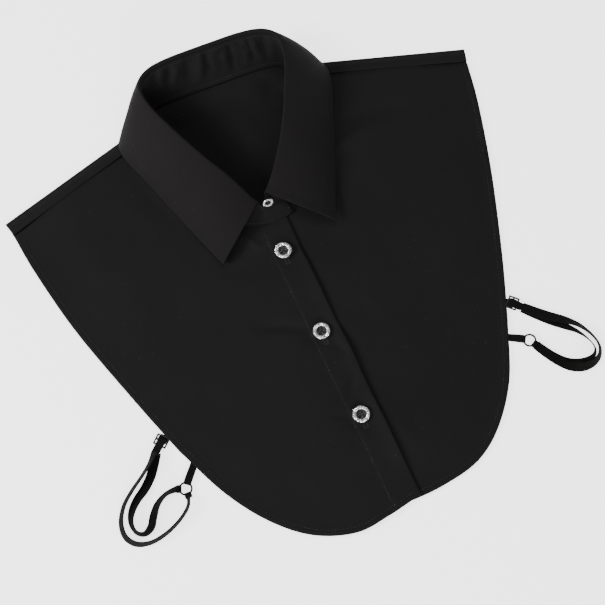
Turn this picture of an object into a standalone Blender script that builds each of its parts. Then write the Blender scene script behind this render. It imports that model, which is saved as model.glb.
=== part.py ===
"""Detachable shirt collar (a dickey) laid flat: two short fronts over a back, a shirt collar on its stand,
three metal-rimmed buttons, a neck button, and a looped elastic strap at each side.

Metres, +Z up.  X runs across the shoulders, +Y from the hem to the neck.  The back lies on Z = 0 and the
origin is under the middle of the garment.  "Right" and "left" in the names are the wearer's: the right
front lies at -X and laps over the left one.
"""
from collections import namedtuple
import math

import bmesh
import bpy
import numpy as np
from mathutils import Matrix, Vector

MM = 0.001

# Driving dimensions, in millimetres.
CLOTH = 1.0            # wall of each cloth piece
GAP = 0.3              # clearance at seams and between layers
LAYER = CLOTH + GAP    # rise from one layer's middle to the next
BACK_Z = 0.5 * CLOTH   # middle of the back's wall
FRONT_Z = BACK_Z + LAYER
LAP = 13.0             # how far each front runs past the centre line
PLACKET_LEAN = 0.031   # the laid fronts' edges drift towards +X by this much per unit of length
STRIP_STEPS = 2        # rows of faces across the forward shoulder strip
SEAM_OFFSET = 1.5      # from the stand's foot to the panel's neck edge
NECK_RISE = 24.0       # the panels start to lift towards the collar this far from the neck seam
BACK_INSET = 3.5       # the back is this much smaller than the fronts at the sides and hem

SEAM_STAND = 4.0       # the collar leaf is sewn to the stand this far below the roll
ROLL_RADIUS = 2.2      # middle of the cloth at the collar's roll
LEAF_END = 0.985       # the leaf stops just short of the centre front
STAND_LAP = 0.085      # the stand's ends run on past the centre front, in the same measure

FOLD = ((62.2, 160.5), (189.5, 122.0))      # shoulder fold, neck end and tip
FORWARD_SEAM = ((65.6, 150.0), (187.0, 112.0))
SHOULDER_SHIFT = 2.0   # the laid shoulders' tips are this far to +X
SHOULDER_SKEW = 2.5    # and the left one is this much higher than the middle, the right one lower

BUTTON = 13.4          # diameter of the front buttons
BUTTON_HEIGHT = 2.6
NECK_BUTTON = 10.5
NECK_BUTTON_HEIGHT = 2.1
NECK_BUTTON_PLACE = 0.64  # up the stand, from the neck seam to the roll
BUTTON_PITCH = 69.5
TOP_BUTTON_Y = 20.0

STRAP = 7.0            # width of the flat elastic
ELASTIC = 0.8          # its thickness
FLOOR_GAP = 0.1        # a laid strap stands this clear of the floor
RING_RADIUS = 4.4      # middle of the ring's wire
RING_WIRE = 1.1

# One row for each section of the collar, from the centre back to the centre front, on the +X side:
# the neck seam, the top of the roll, the leaf's free edge, and how far the leaf bows out, in degrees.
Section = namedtuple("Section", "place neck roll edge bow")
COLLAR = (
    Section("centre back", (0.0, 167.0, 8.0), (0.0, 187.2, 31.0), (0.0, 166.0, 0.9), 30.0),
    Section("back", (28.0, 167.0, 8.0), (28.0, 186.8, 31.0), (31.0, 166.5, 0.9), 30.0),
    Section("back corner", (48.0, 165.5, 7.7), (45.0, 184.0, 31.0), (57.0, 168.0, 1.0), 26.0),
    Section("behind shoulder", (58.0, 161.0, 7.2), (54.5, 177.5, 30.5), (76.0, 164.5, 2.6), 18.0),
    Section("shoulder", (62.0, 153.0, 6.8), (57.0, 168.0, 30.0), (86.0, 153.0, 5.2), 14.0),
    Section("side top", (63.5, 140.0, 6.4), (54.0, 152.5, 29.2), (86.0, 137.0, 4.9), 12.0),
    Section("side", (60.0, 118.0, 6.0), (45.0, 131.0, 28.0), (78.0, 114.0, 4.8), 12.0),
    Section("side front", (51.0, 92.0, 6.0), (35.0, 110.5, 26.5), (70.0, 90.5, 4.8), 12.0),
    Section("front", (38.0, 67.0, 5.8), (24.0, 91.5, 23.5), (61.0, 64.0, 4.9), 12.0),
    Section("near the meeting", (20.0, 48.5, 5.4), (11.0, 74.0, 19.8), (53.0, 41.0, 5.4), 12.0),
    Section("meeting", (0.0, 43.0, 5.0), (0.0, 63.2, 17.0), (47.0, 24.0, 6.5), 12.0),
)
# The laid leaf is not quite even: each row draws its free edge in, near a place on one side.
Lay = namedtuple("Lay", "side place reach inward")
LEAF_LAY = (Lay(-1, 0.31, 0.09, 9.0), Lay(1, 1.0, 0.30, 4.5))
SHOULDER_PLACE = 0.355  # where the neck seam crosses the shoulder fold, from 0 at the back to 1 at the front
NECK_CENTRE = Vector((0.0, 110.0, 15.0))
MIDDLE = Vector((2.0, -2.85, 0.0))  # the middle of the laid garment on this plan, moved to the origin

# The outline of each front, from the forward seam's tip down the side and round the hem.
Outline = namedtuple("Outline", "x y")
SIDE = (
    Outline(187.0, 111.7), Outline(181.0, 76.0), Outline(167.0, 19.0), Outline(146.0, -46.0),
    Outline(129.0, -94.0),
)
RIGHT_HEM = (
    Outline(129.0, -94.0), Outline(110.0, -135.0), Outline(88.0, -166.0), Outline(63.0, -187.0),
    Outline(34.0, -197.0), Outline(8.0, -194.5), Outline(-18.5, -189.0),
)
LEFT_HEM = (
    Outline(129.0, -94.0), Outline(112.0, -135.0), Outline(90.0, -165.0), Outline(66.0, -182.0),
    Outline(36.0, -189.0), Outline(8.0, -190.5), Outline(-9.0, -190.0),
)
BACK_HEM = (
    Outline(129.0, -94.0), Outline(110.0, -135.0), Outline(88.0, -165.0), Outline(63.0, -182.0),
    Outline(34.0, -188.0), Outline(0.0, -189.0),
)

# The straps' routes, as laid: place, lift off the floor, and roll of the band about its run in degrees
# (0 lies flat, and at 90 it stands on its edge with its upper face turned out of the loop).
Route = namedtuple("Route", "x y lift roll")
STRAP_LEFT_OUTER = (
    Route(145.3, -87.6, 1.3, 0), Route(152.6, -94.6, 1.5, 0), Route(161.0, -102.2, 1.7, 8),
    Route(169.8, -109.2, 1.5, 26), Route(177.6, -117.2, 1.0, 50), Route(183.0, -127.0, 0.2, 72),
    Route(184.6, -136.2, 0.0, 80), Route(181.2, -143.6, 0.0, 80), Route(174.0, -147.2, 0.2, 66),
    Route(165.4, -146.6, 1.0, 34), Route(157.4, -142.0, 1.4, 8), Route(150.4, -133.4, 1.4, 0),
    Route(145.2, -124.6, 1.4, 0), Route(142.2, -118.4, 1.4, 0),
)
STRAP_LEFT_INNER = (
    Route(145.0, -88.0, 0.1, 0), Route(151.8, -95.8, 0.1, 0), Route(159.6, -104.2, 0.1, 4),
    Route(167.4, -112.6, 0.0, 26), Route(174.2, -120.4, 0.0, 52), Route(179.0, -128.8, 0.0, 74),
    Route(180.8, -136.6, 0.0, 82), Route(178.0, -141.6, 0.0, 82), Route(172.2, -143.6, 0.0, 66),
    Route(165.0, -143.0, 0.0, 34), Route(158.0, -139.2, 0.1, 8), Route(151.2, -132.0, 0.1, 0),
    Route(145.8, -124.0, 0.1, 0), Route(142.5, -118.2, 0.1, 0),
)
STRAP_RIGHT_OUTER = (
    Route(-145.2, -88.4, 1.3, 0), Route(-151.6, -95.0, 1.2, -24), Route(-160.0, -101.6, 0.6, -62),
    Route(-170.6, -109.0, 0.0, -82), Route(-179.6, -117.2, 0.0, -84), Route(-185.4, -127.6, 0.0, -84),
    Route(-186.0, -138.2, 0.0, -84), Route(-180.4, -146.0, 0.0, -84), Route(-170.4, -148.8, 0.0, -84),
    Route(-158.4, -146.8, 0.0, -84), Route(-146.6, -141.6, 0.0, -84), Route(-137.6, -134.6, 0.0, -80),
    Route(-134.4, -127.2, 0.0, -66),
)
STRAP_RIGHT_INNER = (
    Route(-144.6, -88.8, 0.1, 0), Route(-149.2, -96.2, 0.1, 0), Route(-154.6, -103.8, 0.1, -4),
    Route(-161.6, -110.6, 0.0, -14), Route(-169.4, -116.2, 0.0, -26), Route(-175.6, -122.8, 0.0, -40),
    Route(-178.8, -130.4, 0.0, -60), Route(-177.8, -138.0, 0.0, -76), Route(-172.8, -141.4, 0.0, -74),
    Route(-166.8, -138.4, 0.0, -50), Route(-162.4, -131.6, 0.0, -48), Route(-156.6, -124.6, 0.0, -66),
    Route(-148.6, -120.2, 0.0, -80), Route(-139.6, -119.6, 0.0, -66),
)
# The short pieces sewn under the fronts' edges: one reaches the slider, the other, the tab, the ring.
SEWN_LEFT = (Route(133.6, -78.6, 0.1, 0), Route(136.0, -79.9, 0.1, 0), Route(138.3, -81.3, 0.1, 0))
SEWN_RIGHT = (Route(-134.0, -79.3, 0.1, 0), Route(-136.0, -80.7, 0.1, 0), Route(-137.9, -82.2, 0.1, 0))
TAB_LEFT = (Route(126.2, -103.2, 0.1, 0), Route(130.6, -106.5, 0.1, 0), Route(135.1, -109.9, 0.1, 0))
TAB_RIGHT = (Route(-124.0, -108.2, 0.1, 0), Route(-127.6, -112.8, 0.1, 0), Route(-131.0, -117.2, 0.1, 0))

COLLECTION = bpy.data.collections.new("detachable_shirt_collar")
CUTTERS = bpy.data.collections.new("cutters")

BLACK_COTTON = ((0.013, 0.012, 0.012), 0.85, 0.0)
BLACK_ELASTIC = ((0.012, 0.012, 0.012), 0.8, 0.0)
SILVER = ((0.75, 0.75, 0.76), 0.25, 1.0)
BLACK_PLASTIC = ((0.015, 0.015, 0.016), 0.3, 0.0)


def clear_scene():
    """Remove whatever the file opened with, and link the two collections."""
    for old in list(bpy.data.objects):
        bpy.data.objects.remove(old, do_unlink=True)
    for collection in (COLLECTION, CUTTERS):
        bpy.context.scene.collection.children.link(collection)


def finish(obj, look, collection=COLLECTION):
    """Put an object in its collection with a material of its own, unless it is a cutter."""
    collection.objects.link(obj)
    if look:
        colour, roughness, metallic = look
        material = bpy.data.materials.new(obj.name)
        material.use_nodes = True
        shader = material.node_tree.nodes["Principled BSDF"]
        shader.inputs["Base Color"].default_value = (*colour, 1.0)
        shader.inputs["Roughness"].default_value = roughness
        shader.inputs["Metallic"].default_value = metallic
        obj.data.materials.append(material)
    return obj


def smoothstep(value, low, high):
    """0 below low, 1 above high, and an even S between."""
    t = min(max((value - low) / (high - low), 0.0), 1.0)
    return t * t * (3.0 - 2.0 * t)


def through(points, places):
    """A Catmull-Rom curve through the points, read at places given as fractional indices."""
    knots = np.array(points, dtype=float)
    knots = np.vstack([2.0 * knots[0] - knots[1], knots, 2.0 * knots[-1] - knots[-2]])
    read = []
    for place in places:
        index = min(int(place), len(points) - 2)
        t = place - index
        a, b, c, d = knots[index:index + 4]
        read.append(0.5 * (2.0 * b + (c - a) * t + (2.0 * a - 5.0 * b + 4.0 * c - d) * t * t
                           + (3.0 * b - a - 3.0 * c + d) * t ** 3))
    return np.array(read)


def along(points, fractions):
    """The same curve, read at fractions of its length."""
    fine = through(points, np.linspace(0.0, len(points) - 1.0, 16 * len(points)))
    steps = np.linalg.norm(np.diff(fine, axis=0), axis=1)
    length = np.concatenate([[0.0], np.cumsum(steps)])
    wanted = np.asarray(fractions) * length[-1]
    return np.array([np.interp(wanted, length, fine[:, axis]) for axis in range(fine.shape[1])]).T


def patch(top, bottom, start, end):
    """Fill four boundary curves with a Coons patch: rows run from top to bottom."""
    rows = []
    for j in range(len(start)):
        v = j / (len(start) - 1.0)
        row = []
        for i in range(len(top)):
            u = i / (len(top) - 1.0)
            ruled = (1.0 - v) * top[i] + v * bottom[i] + (1.0 - u) * start[j] + u * end[j]
            corners = ((1.0 - u) * (1.0 - v) * top[0] + u * (1.0 - v) * top[-1]
                       + (1.0 - u) * v * bottom[0] + u * v * bottom[-1])
            row.append(ruled - corners)
        rows.append(row)
    return rows


def sheet(name, rows, thickness=CLOTH, look=BLACK_COTTON):
    """A cloth piece: a grid of points, in millimetres, thickened about its middle.  A point may be None."""
    mesh = bpy.data.meshes.new(name)
    form = bmesh.new()
    grid = [[None if point is None else form.verts.new(Vector(point) * MM) for point in row]
            for row in rows]
    for upper, lower in zip(grid, grid[1:]):
        for i in range(len(upper) - 1):
            corners = (upper[i], lower[i], lower[i + 1], upper[i + 1])
            if None not in corners:
                form.faces.new(corners)
    form.to_mesh(mesh)
    form.free()
    mesh.shade_smooth()
    obj = finish(bpy.data.objects.new(name, mesh), look)
    wall = obj.modifiers.new("wall", "SOLIDIFY")
    wall.thickness = thickness * MM
    wall.offset = 0.0
    return obj


def collar_section(place, side):
    """Neck, roll and edge points and the bow at a place from 0, centre back, to 1, centre front."""
    index = place * (len(COLLAR) - 1)
    points = []
    for column in ("neck", "roll", "edge"):
        x, y, z = through([getattr(row, column) for row in COLLAR], [index])[0]
        points.append(Vector((side * x, y, z)))
    bow = through([[row.bow] for row in COLLAR], [index])[0][0]
    for lay in LEAF_LAY:
        if lay.side == side:
            weight = math.exp(-((place - lay.place) / lay.reach) ** 2)
            points[2].x -= side * lay.inward * weight
    return (*points, bow)


def stand_outward(place, side):
    """The direction out of the stand's outer face."""
    neck, roll, _, _ = collar_section(place, side)
    before = collar_section(max(place - 0.02, 0.0), side)[0]
    after = collar_section(min(place + 0.02, 1.0), side)[0]
    outward = (after - before).cross(roll - neck).normalized()
    return outward if outward.dot(neck - NECK_CENTRE) > 0.0 else -outward


def lapped(place, side, past_front=False):
    """How far the stand steps out (right end, on top) or in (left end, beneath) for its lap."""
    over = (side < 0) != past_front
    amount = 0.5 * LAYER + 0.1
    return (amount if over else -amount) * smoothstep(place, 0.70, 0.84)


def foot(place, side):
    """The stand's foot; a place past 1 is on the lapped end, across the centre front."""
    past = place > 1.0
    place, side = (2.0 - place, -side) if past else (place, side)
    neck = collar_section(place, side)[0]
    return neck + stand_outward(place, side) * lapped(place, side, past)


def beside(line, distance):
    """A plan line moved sideways, away from the middle of the neck if distance is positive."""
    moved = []
    for i, point in enumerate(line):
        run = line[min(i + 1, len(line) - 1)] - line[max(i - 1, 0)]
        out = Vector((run.y, -run.x)).normalized()
        if out.dot(point - NECK_CENTRE.xy) < 0.0:
            out = -out
        moved.append(point + out * distance)
    return moved


def foot_line(first, last, side, count):
    """The stand's foot between two places, as rows of x, y and z."""
    return np.array([foot(place, side) for place in np.linspace(first, last, count)])


FOOT_LINES = {}


def near_neck(x, y, part):
    """Closeness to a part's neck seam, 1 on it and 0 past NECK_RISE, and the seam's height."""
    if not FOOT_LINES:
        FOOT_LINES["over"] = foot_line(SHOULDER_PLACE, 1.08, -1, 60)
        FOOT_LINES["under"] = foot_line(SHOULDER_PLACE, 1.08, 1, 60)
        FOOT_LINES["back"] = foot_line(0.0, SHOULDER_PLACE, 1, 40)
    line = FOOT_LINES[part]
    mirrored = abs(x) if part == "back" else x
    distance = np.hypot(line[:, 0] - mirrored, line[:, 1] - y)
    nearest = int(np.argmin(distance))
    return 1.0 - smoothstep(distance[nearest], 2.0, NECK_RISE), line[nearest, 2]


def centre_line(y):
    """Where the fronts' centre line lies, which drifts a little to +X on its way to the hem."""
    return PLACKET_LEAN * (TOP_BUTTON_Y - BUTTON_PITCH - y)


def front_height(x, y, over):
    """Middle of a front's wall: flat, lifted over the other front at the lap, and up to the neck seam."""
    base = FRONT_Z
    if over:
        base += LAYER * (1.0 - smoothstep(centre_line(y) - x, LAP + 4.0, LAP + 18.0))
    close, seam = near_neck(x, y, "over" if over else "under")
    return base + (max(seam + 0.1, base) - base) * close


def back_height(x, y):
    """Middle of the back's wall: on the floor, and up to just under the stand at the neck."""
    close, seam = near_neck(x, y, "back")
    return BACK_Z + (seam - LAYER - 0.1 - BACK_Z) * close


def shoulder_line(ends, side):
    """A shoulder line's neck end and tip on one side, as the garment is laid."""
    (neck_x, neck_y), (tip_x, tip_y) = ends
    skew = side * SHOULDER_SKEW
    return [Vector((side * neck_x, neck_y + skew)), Vector((side * tip_x + SHOULDER_SHIFT, tip_y + skew))]


def side_line(side, tip=()):
    """The plan of a front's side edge, from the shoulder down."""
    rows = []
    for row in SIDE:
        turn = smoothstep(row.y, 20.0, 110.0)
        rows.append((side * row.x + SHOULDER_SHIFT * turn, row.y + side * SHOULDER_SKEW * turn))
    return list(tip) + rows


def front(name, side, hem, over):
    """One front: neck edge and forward seam at the top, placket edge, hem and side."""
    seam_start, seam_end = shoulder_line(FORWARD_SEAM, side)
    seam = [seam_start.lerp(seam_end, t) - Vector((0.0, 2.0 * GAP)) for t in np.linspace(0.0, 1.0, 9)]
    lap_place = 1.05 if over else 1.074
    feet = [Vector(point[:2]) for point in foot_line(lap_place, SHOULDER_PLACE + 0.085, side, 12)]
    top = np.array(beside(feet, SEAM_OFFSET) + seam)
    down = np.concatenate([0.4 * np.linspace(0.0, 1.0, 9) ** 1.5, np.linspace(0.4, 1.0, 10)[1:]])
    bottom = along([(side * row.x, row.y) for row in reversed(hem)], np.linspace(0.0, 1.0, len(top)))
    placket = np.array([top[0] + (bottom[0] - top[0]) * t for t in down])
    rows = patch(top, bottom, placket, along(side_line(side), down))
    rows = [[(x, y, front_height(x, y, over)) for x, y in row] for row in rows]
    return sheet(name, [row[::-1] for row in rows] if side > 0 else rows)


def back():
    """The back: flat under the fronts, folded forward over each shoulder to the seam in front."""
    shoulder = 9
    halves = {}
    for side in (-1, 1):
        fold_neck, fold_tip = shoulder_line(FOLD, side)
        fold = [fold_tip.lerp(fold_neck, t) for t in np.linspace(0.0, 1.0, shoulder)]
        feet = [Vector(point[:2]) for point in foot_line(SHOULDER_PLACE - 0.055, 0.0, side, 6)]
        halves[side] = fold + [point - Vector((0.0, SEAM_OFFSET)) for point in feet]
    top = np.array(halves[1] + halves[-1][-2::-1])
    down = np.concatenate([0.35 * np.linspace(0.0, 1.0, 7) ** 1.3, np.linspace(0.35, 1.0, 9)[1:]])
    edges = {}
    for side in (-1, 1):
        tip = shoulder_line(FOLD, side)[1]
        edges[side] = along(side_line(side, [tuple(tip)]), down)
        for point in edges[side]:
            point[0] -= side * BACK_INSET * smoothstep(tip.y - point[1], 12.0, 50.0)
    hem = along([(row.x, row.y) for row in BACK_HEM], np.linspace(0.0, 1.0, len(halves[1])))
    hem[:, 0] -= BACK_INSET * np.linspace(1.0, 0.0, len(hem))
    bottom = np.array([tuple(point) for point in hem] + [(-x, y) for x, y in hem[-2::-1]])
    rows = patch(top, bottom, edges[1], edges[-1])
    rows = [[(x, y, back_height(x, y)) for x, y in row] for row in rows]

    wrap = []
    for step in range(STRIP_STEPS, 0, -1):
        wrap.append(strip_row(top, shoulder, step / STRIP_STEPS))
    for turn in (1.0, 0.75, 0.5, 0.25):
        wrap.append(fold_row(top, shoulder, turn))
    return sheet("back", wrap + rows)


def shoulder_columns(count, shoulder):
    """The columns on the two shoulders: number, side, and fraction from the tip to the neck."""
    for i in range(shoulder):
        yield i, 1, i / (shoulder - 1.0)
        yield count - 1 - i, -1, i / (shoulder - 1.0)


def fold_row(top, shoulder, turn):
    """Points round the shoulder fold, at a fraction of the half turn from the back to the strip."""
    row = [None] * len(top)
    for i, side, _ in shoulder_columns(len(top), shoulder):
        fold_neck, fold_tip = shoulder_line(FOLD, side)
        run = (fold_tip - fold_neck).normalized()
        x, y = top[i]
        low = back_height(x, y)
        high = front_height(x, y, side < 0)
        angle = math.pi * turn
        out = 0.5 * LAYER * math.sin(angle)
        height = 0.5 * (low + high) - 0.5 * (high - low) * math.cos(angle)
        row[i] = (x - side * run.y * out, y + side * run.x * out, height)
    return row


def strip_row(top, shoulder, step):
    """Points of the strip in front of the fold, a step of the way to the forward seam."""
    row = [None] * len(top)
    for i, side, fraction in shoulder_columns(len(top), shoulder):
        seam_neck, seam_tip = shoulder_line(FORWARD_SEAM, side)
        x, y = Vector(top[i]).lerp(seam_tip.lerp(seam_neck, fraction), step)
        row[i] = (x, y, front_height(x, y, side < 0))
    return row


def collar_stand():
    """The stand: a band up from the neck seam to just below the roll, its ends lapped in front."""
    rows = []
    places = list(np.linspace(0.0, 1.0, 23)) + list(np.linspace(1.0, 1.0 + STAND_LAP, 4)[1:])
    stations = [(place, 1) for place in places[::-1]] + [(place, -1) for place in places[1:]]
    for place, side in stations:
        base = foot(place, side)
        neck, roll, _, _ = collar_section(min(place, 2.0 - place), side if place <= 1.0 else -side)
        rise = (roll - neck).normalized() * ((roll - neck).length - SEAM_STAND - GAP - 0.1)
        rows.append([base + rise * t for t in (0.0, 0.5, 1.0)])
    return sheet("collar_stand", rows)


def leaf_section(place, side):
    """From the seam on the stand up, over the roll and down to the free edge."""
    neck, roll, edge, bow = collar_section(place, side)
    out = stand_outward(place, side)
    shift = out * lapped(place, side)
    neck, roll = neck + shift, roll + shift
    up = (roll - neck).normalized()
    chord = (edge - roll).normalized()
    off_chord = (out - chord * out.dot(chord)).normalized()
    fall = (chord + off_chord * math.tan(math.radians(bow))).normalized()
    turn = up.angle(fall)
    steps = 5
    points = [roll - up * SEAM_STAND, roll]
    for i in range(steps):
        heading = up.slerp(fall, (i + 0.5) / steps)
        points.append(points[-1] + heading * (ROLL_RADIUS * turn / steps))
    start = points[-1]
    control = start + fall * (0.45 * (edge - start).length)
    for t in (0.2, 0.45, 0.72, 1.0):
        points.append(start * (1 - t) ** 2 + control * 2 * t * (1 - t) + edge * t * t)
    return points


def collar_leaf():
    """The leaf: sewn into the stand's top, rolled over and down, with a point at each front."""
    places = np.linspace(0.0, LEAF_END, 23)
    rows = [leaf_section(place, 1) for place in places[::-1]]
    rows += [leaf_section(place, -1) for place in places[1:]]
    return sheet("collar_leaf", rows)


def button(name, centre, facing, diameter, height):
    """A turned button: rolled metal rim round a sunk face, with four thread holes through it."""
    radius = 0.5 * diameter
    profile = (
        (0.0, 0.5), (0.50, 0.5), (0.54, 0.6), (0.60, 0.85), (0.70, 1.0), (0.82, 1.0),
        (0.93, 0.85), (1.0, 0.6), (0.97, 0.3), (0.85, 0.1), (0.85, 0.0), (0.0, 0.0),
    )
    mesh = bpy.data.meshes.new(name)
    form = bmesh.new()
    edge = [form.verts.new((r * radius * MM, 0.0, z * height * MM)) for r, z in profile]
    for upper, lower in zip(edge, edge[1:]):
        form.edges.new((upper, lower))
    form.to_mesh(mesh)
    form.free()
    obj = finish(bpy.data.objects.new(name, mesh), SILVER)
    screw = obj.modifiers.new("turn", "SCREW")
    screw.steps = screw.render_steps = 24
    screw.use_merge_vertices = True
    screw.merge_threshold = 0.00001
    screw.use_smooth_shade = True

    cutter_mesh = bpy.data.meshes.new(name + "_holes")
    form = bmesh.new()
    reach = 0.17 * radius * MM
    for quarter in range(4):
        angle = math.radians(45.0 + 90.0 * quarter)
        place = Matrix.Translation((reach * math.cos(angle), reach * math.sin(angle), 0.0))
        bmesh.ops.create_cone(form, cap_ends=True, segments=10, radius1=0.085 * radius * MM,
                              radius2=0.085 * radius * MM, depth=0.01, matrix=place)
    form.to_mesh(cutter_mesh)
    form.free()
    holes = finish(bpy.data.objects.new(name + "_holes", cutter_mesh), None, CUTTERS)
    holes.hide_render = True
    holes.display_type = "WIRE"
    cut = obj.modifiers.new("holes", "BOOLEAN")
    cut.operation = "DIFFERENCE"
    cut.object = holes
    turn = Vector(facing).to_track_quat("Z", "Y").to_matrix().to_4x4()
    for piece in (obj, holes):
        piece.matrix_world = Matrix.Translation(Vector(centre) * MM) @ turn
    return obj


def band(name, route, steps=3):
    """A flat elastic band swept along its route, rolled about its run."""
    places = np.linspace(0.0, len(route) - 1.0, (len(route) - 1) * steps + 1)
    line = through([(row.x, row.y, row.lift) for row in route], places)
    rolls = through([[row.roll] for row in route], places)[:, 0]
    rows = []
    for i, (x, y, lift) in enumerate(line):
        run = Vector((line[min(i + 1, len(line) - 1)] - line[max(i - 1, 0)])[:2]).normalized()
        roll = math.radians(rolls[i])
        rest = 0.5 * STRAP * abs(math.sin(roll)) + 0.5 * ELASTIC * math.cos(roll)
        across = Vector((run.y * math.cos(roll), -run.x * math.cos(roll), math.sin(roll)))
        middle = Vector((x, y, lift + rest + FLOOR_GAP))
        rows.append([middle + across * (STRAP * t) for t in (-0.5, 0.0, 0.5)])
    return sheet(name, rows, ELASTIC, BLACK_ELASTIC)


def ring(name, centre):
    """A wire ring that joins a strap to its tab."""
    mesh = bpy.data.meshes.new(name)
    form = bmesh.new()
    wire = 0.5 * RING_WIRE
    start = [form.verts.new(((RING_RADIUS + wire * math.cos(a)) * MM, 0.0, wire * math.sin(a) * MM))
             for a in np.linspace(0.0, 2.0 * math.pi, 10, endpoint=False)]
    edges = [form.edges.new((a, b)) for a, b in zip(start, start[1:] + start[:1])]
    bmesh.ops.spin(form, geom=start + edges, cent=(0, 0, 0), axis=(0, 0, 1), angle=2.0 * math.pi,
                   steps=28, use_merge=True)
    bmesh.ops.remove_doubles(form, verts=form.verts, dist=0.00001)
    bmesh.ops.recalc_face_normals(form, faces=form.faces)
    form.to_mesh(mesh)
    form.free()
    mesh.shade_smooth()
    obj = finish(bpy.data.objects.new(name, mesh), BLACK_PLASTIC)
    obj.location = Vector(centre) * MM
    return obj


def rounded_rectangle(curve, half_x, half_y, centre_y, corner):
    """Add a closed outline with round corners to a flat curve."""
    outline = []
    for turn, (sx, sy) in enumerate(((1, 1), (-1, 1), (-1, -1), (1, -1))):
        for step in range(4):
            angle = math.radians(90.0 * turn + 30.0 * step)
            outline.append((sx * (half_x - corner) + corner * math.cos(angle),
                            sy * (half_y - corner) + corner * math.sin(angle) + centre_y))
    spline = curve.splines.new("POLY")
    spline.points.add(len(outline) - 1)
    for point, (x, y) in zip(spline.points, outline):
        point.co = (x * MM, y * MM, 0.0, 1.0)
    spline.use_cyclic_u = True


def slider(name, centre, heading):
    """A flat three-bar slider: two slots side by side across the strap's run."""
    curve = bpy.data.curves.new(name, "CURVE")
    curve.dimensions = "2D"
    curve.fill_mode = "BOTH"
    curve.extrude = 0.6 * MM
    rounded_rectangle(curve, 5.0, 4.2, 0.0, 1.2)
    for centre_y in (-1.85, 1.85):
        rounded_rectangle(curve, 3.9, 1.1, centre_y, 0.5)
    outline = bpy.data.objects.new(name + "_outline", curve)
    COLLECTION.objects.link(outline)
    depsgraph = bpy.context.evaluated_depsgraph_get()
    mesh = bpy.data.meshes.new_from_object(outline.evaluated_get(depsgraph))
    bpy.data.objects.remove(outline, do_unlink=True)
    mesh.name = name
    form = bmesh.new()
    form.from_mesh(mesh)
    bmesh.ops.remove_doubles(form, verts=form.verts, dist=0.00001)
    bmesh.ops.recalc_face_normals(form, faces=form.faces)
    form.to_mesh(mesh)
    form.free()
    obj = finish(bpy.data.objects.new(name, mesh), BLACK_PLASTIC)
    obj.location = Vector(centre) * MM
    obj.rotation_euler = (0.0, 0.0, math.radians(heading))
    return obj


def front_buttons():
    """Three buttons down the placket's middle."""
    for number in range(3):
        y = TOP_BUTTON_Y - BUTTON_PITCH * number
        x = centre_line(y)
        seat = max(front_height(x, y + 0.5 * BUTTON * t, True) for t in (-1.0, 0.0, 1.0))
        button(f"front_button_{number + 1}", (x, y, seat + 0.5 * CLOTH + GAP), (0.0, 0.0, 1.0), BUTTON,
               BUTTON_HEIGHT)


def neck_button():
    """The button on the stand's lapped ends, half hidden by the leaf."""
    neck, roll, _, _ = collar_section(1.0, -1)
    out = stand_outward(1.0, -1)
    centre = neck.lerp(roll, NECK_BUTTON_PLACE) + out * (lapped(1.0, -1) + 0.5 * CLOTH + GAP)
    button("neck_button", centre, out, NECK_BUTTON, NECK_BUTTON_HEIGHT)


def straps():
    """On each side: a sewn end and slider, the two runs of the loop, and a ring on a short tab."""
    for name, route in (
        ("strap_left_outer", STRAP_LEFT_OUTER), ("strap_left_inner", STRAP_LEFT_INNER),
        ("strap_right_outer", STRAP_RIGHT_OUTER), ("strap_right_inner", STRAP_RIGHT_INNER),
        ("sewn_end_left", SEWN_LEFT), ("sewn_end_right", SEWN_RIGHT),
        ("tab_left", TAB_LEFT), ("tab_right", TAB_RIGHT),
    ):
        band(name, route)
    slider("slider_left", (141.8, -84.4, 1.9), 46.0)
    slider("slider_right", (-141.3, -85.2, 1.9), -48.0)
    ring("ring_left", (139.3, -113.2, 1.6))
    ring("ring_right", (-134.4, -121.4, 1.6))


def main():
    clear_scene()
    front("front_right", -1, RIGHT_HEM, True)
    front("front_left", 1, LEFT_HEM, False)
    back()
    collar_stand()
    collar_leaf()
    front_buttons()
    neck_button()
    straps()
    for obj in COLLECTION.objects:
        obj.location -= MIDDLE * MM


main()
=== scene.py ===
"""A false shirt collar in black cotton poplin, laid flat: two short fronts buttoned over a back, a shirt
collar on its stand, and a looped elastic strap at each side.  Sizes are in millimetres on the garment's own
plan; they are turned to metres, with the garment's middle at the origin, as each piece is made.
"""
import math

import bmesh
import bpy
import numpy as np
from mathutils import Matrix, Vector, noise


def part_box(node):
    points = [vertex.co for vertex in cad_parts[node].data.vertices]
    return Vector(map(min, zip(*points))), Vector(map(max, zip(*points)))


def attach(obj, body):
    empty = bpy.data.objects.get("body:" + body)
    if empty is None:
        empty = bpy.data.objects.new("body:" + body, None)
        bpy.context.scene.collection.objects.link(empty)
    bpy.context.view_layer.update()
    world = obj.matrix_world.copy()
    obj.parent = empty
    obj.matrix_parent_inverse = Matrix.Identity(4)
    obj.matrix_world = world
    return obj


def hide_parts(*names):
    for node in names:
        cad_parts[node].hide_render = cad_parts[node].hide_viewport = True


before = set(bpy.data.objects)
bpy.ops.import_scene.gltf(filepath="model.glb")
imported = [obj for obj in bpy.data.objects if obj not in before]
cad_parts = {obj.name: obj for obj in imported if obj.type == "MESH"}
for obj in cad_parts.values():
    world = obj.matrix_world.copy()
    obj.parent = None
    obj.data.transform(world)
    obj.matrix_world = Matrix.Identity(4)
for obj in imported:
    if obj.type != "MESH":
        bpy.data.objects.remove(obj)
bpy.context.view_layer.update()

# The view: from above the laid garment, tilted towards its hem and turned a little to the wearer's
# right, close enough for the shoulders and the straps to fill the frame.
VIEW_TURN, VIEW_TILT = math.radians(-22.3), math.radians(70.0)
VIEW_DISTANCE = 1.188
VIEW_CENTRE = Vector((-0.0058, -0.01915, 0.0))
camera_data = bpy.data.cameras.new("camera")
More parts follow.
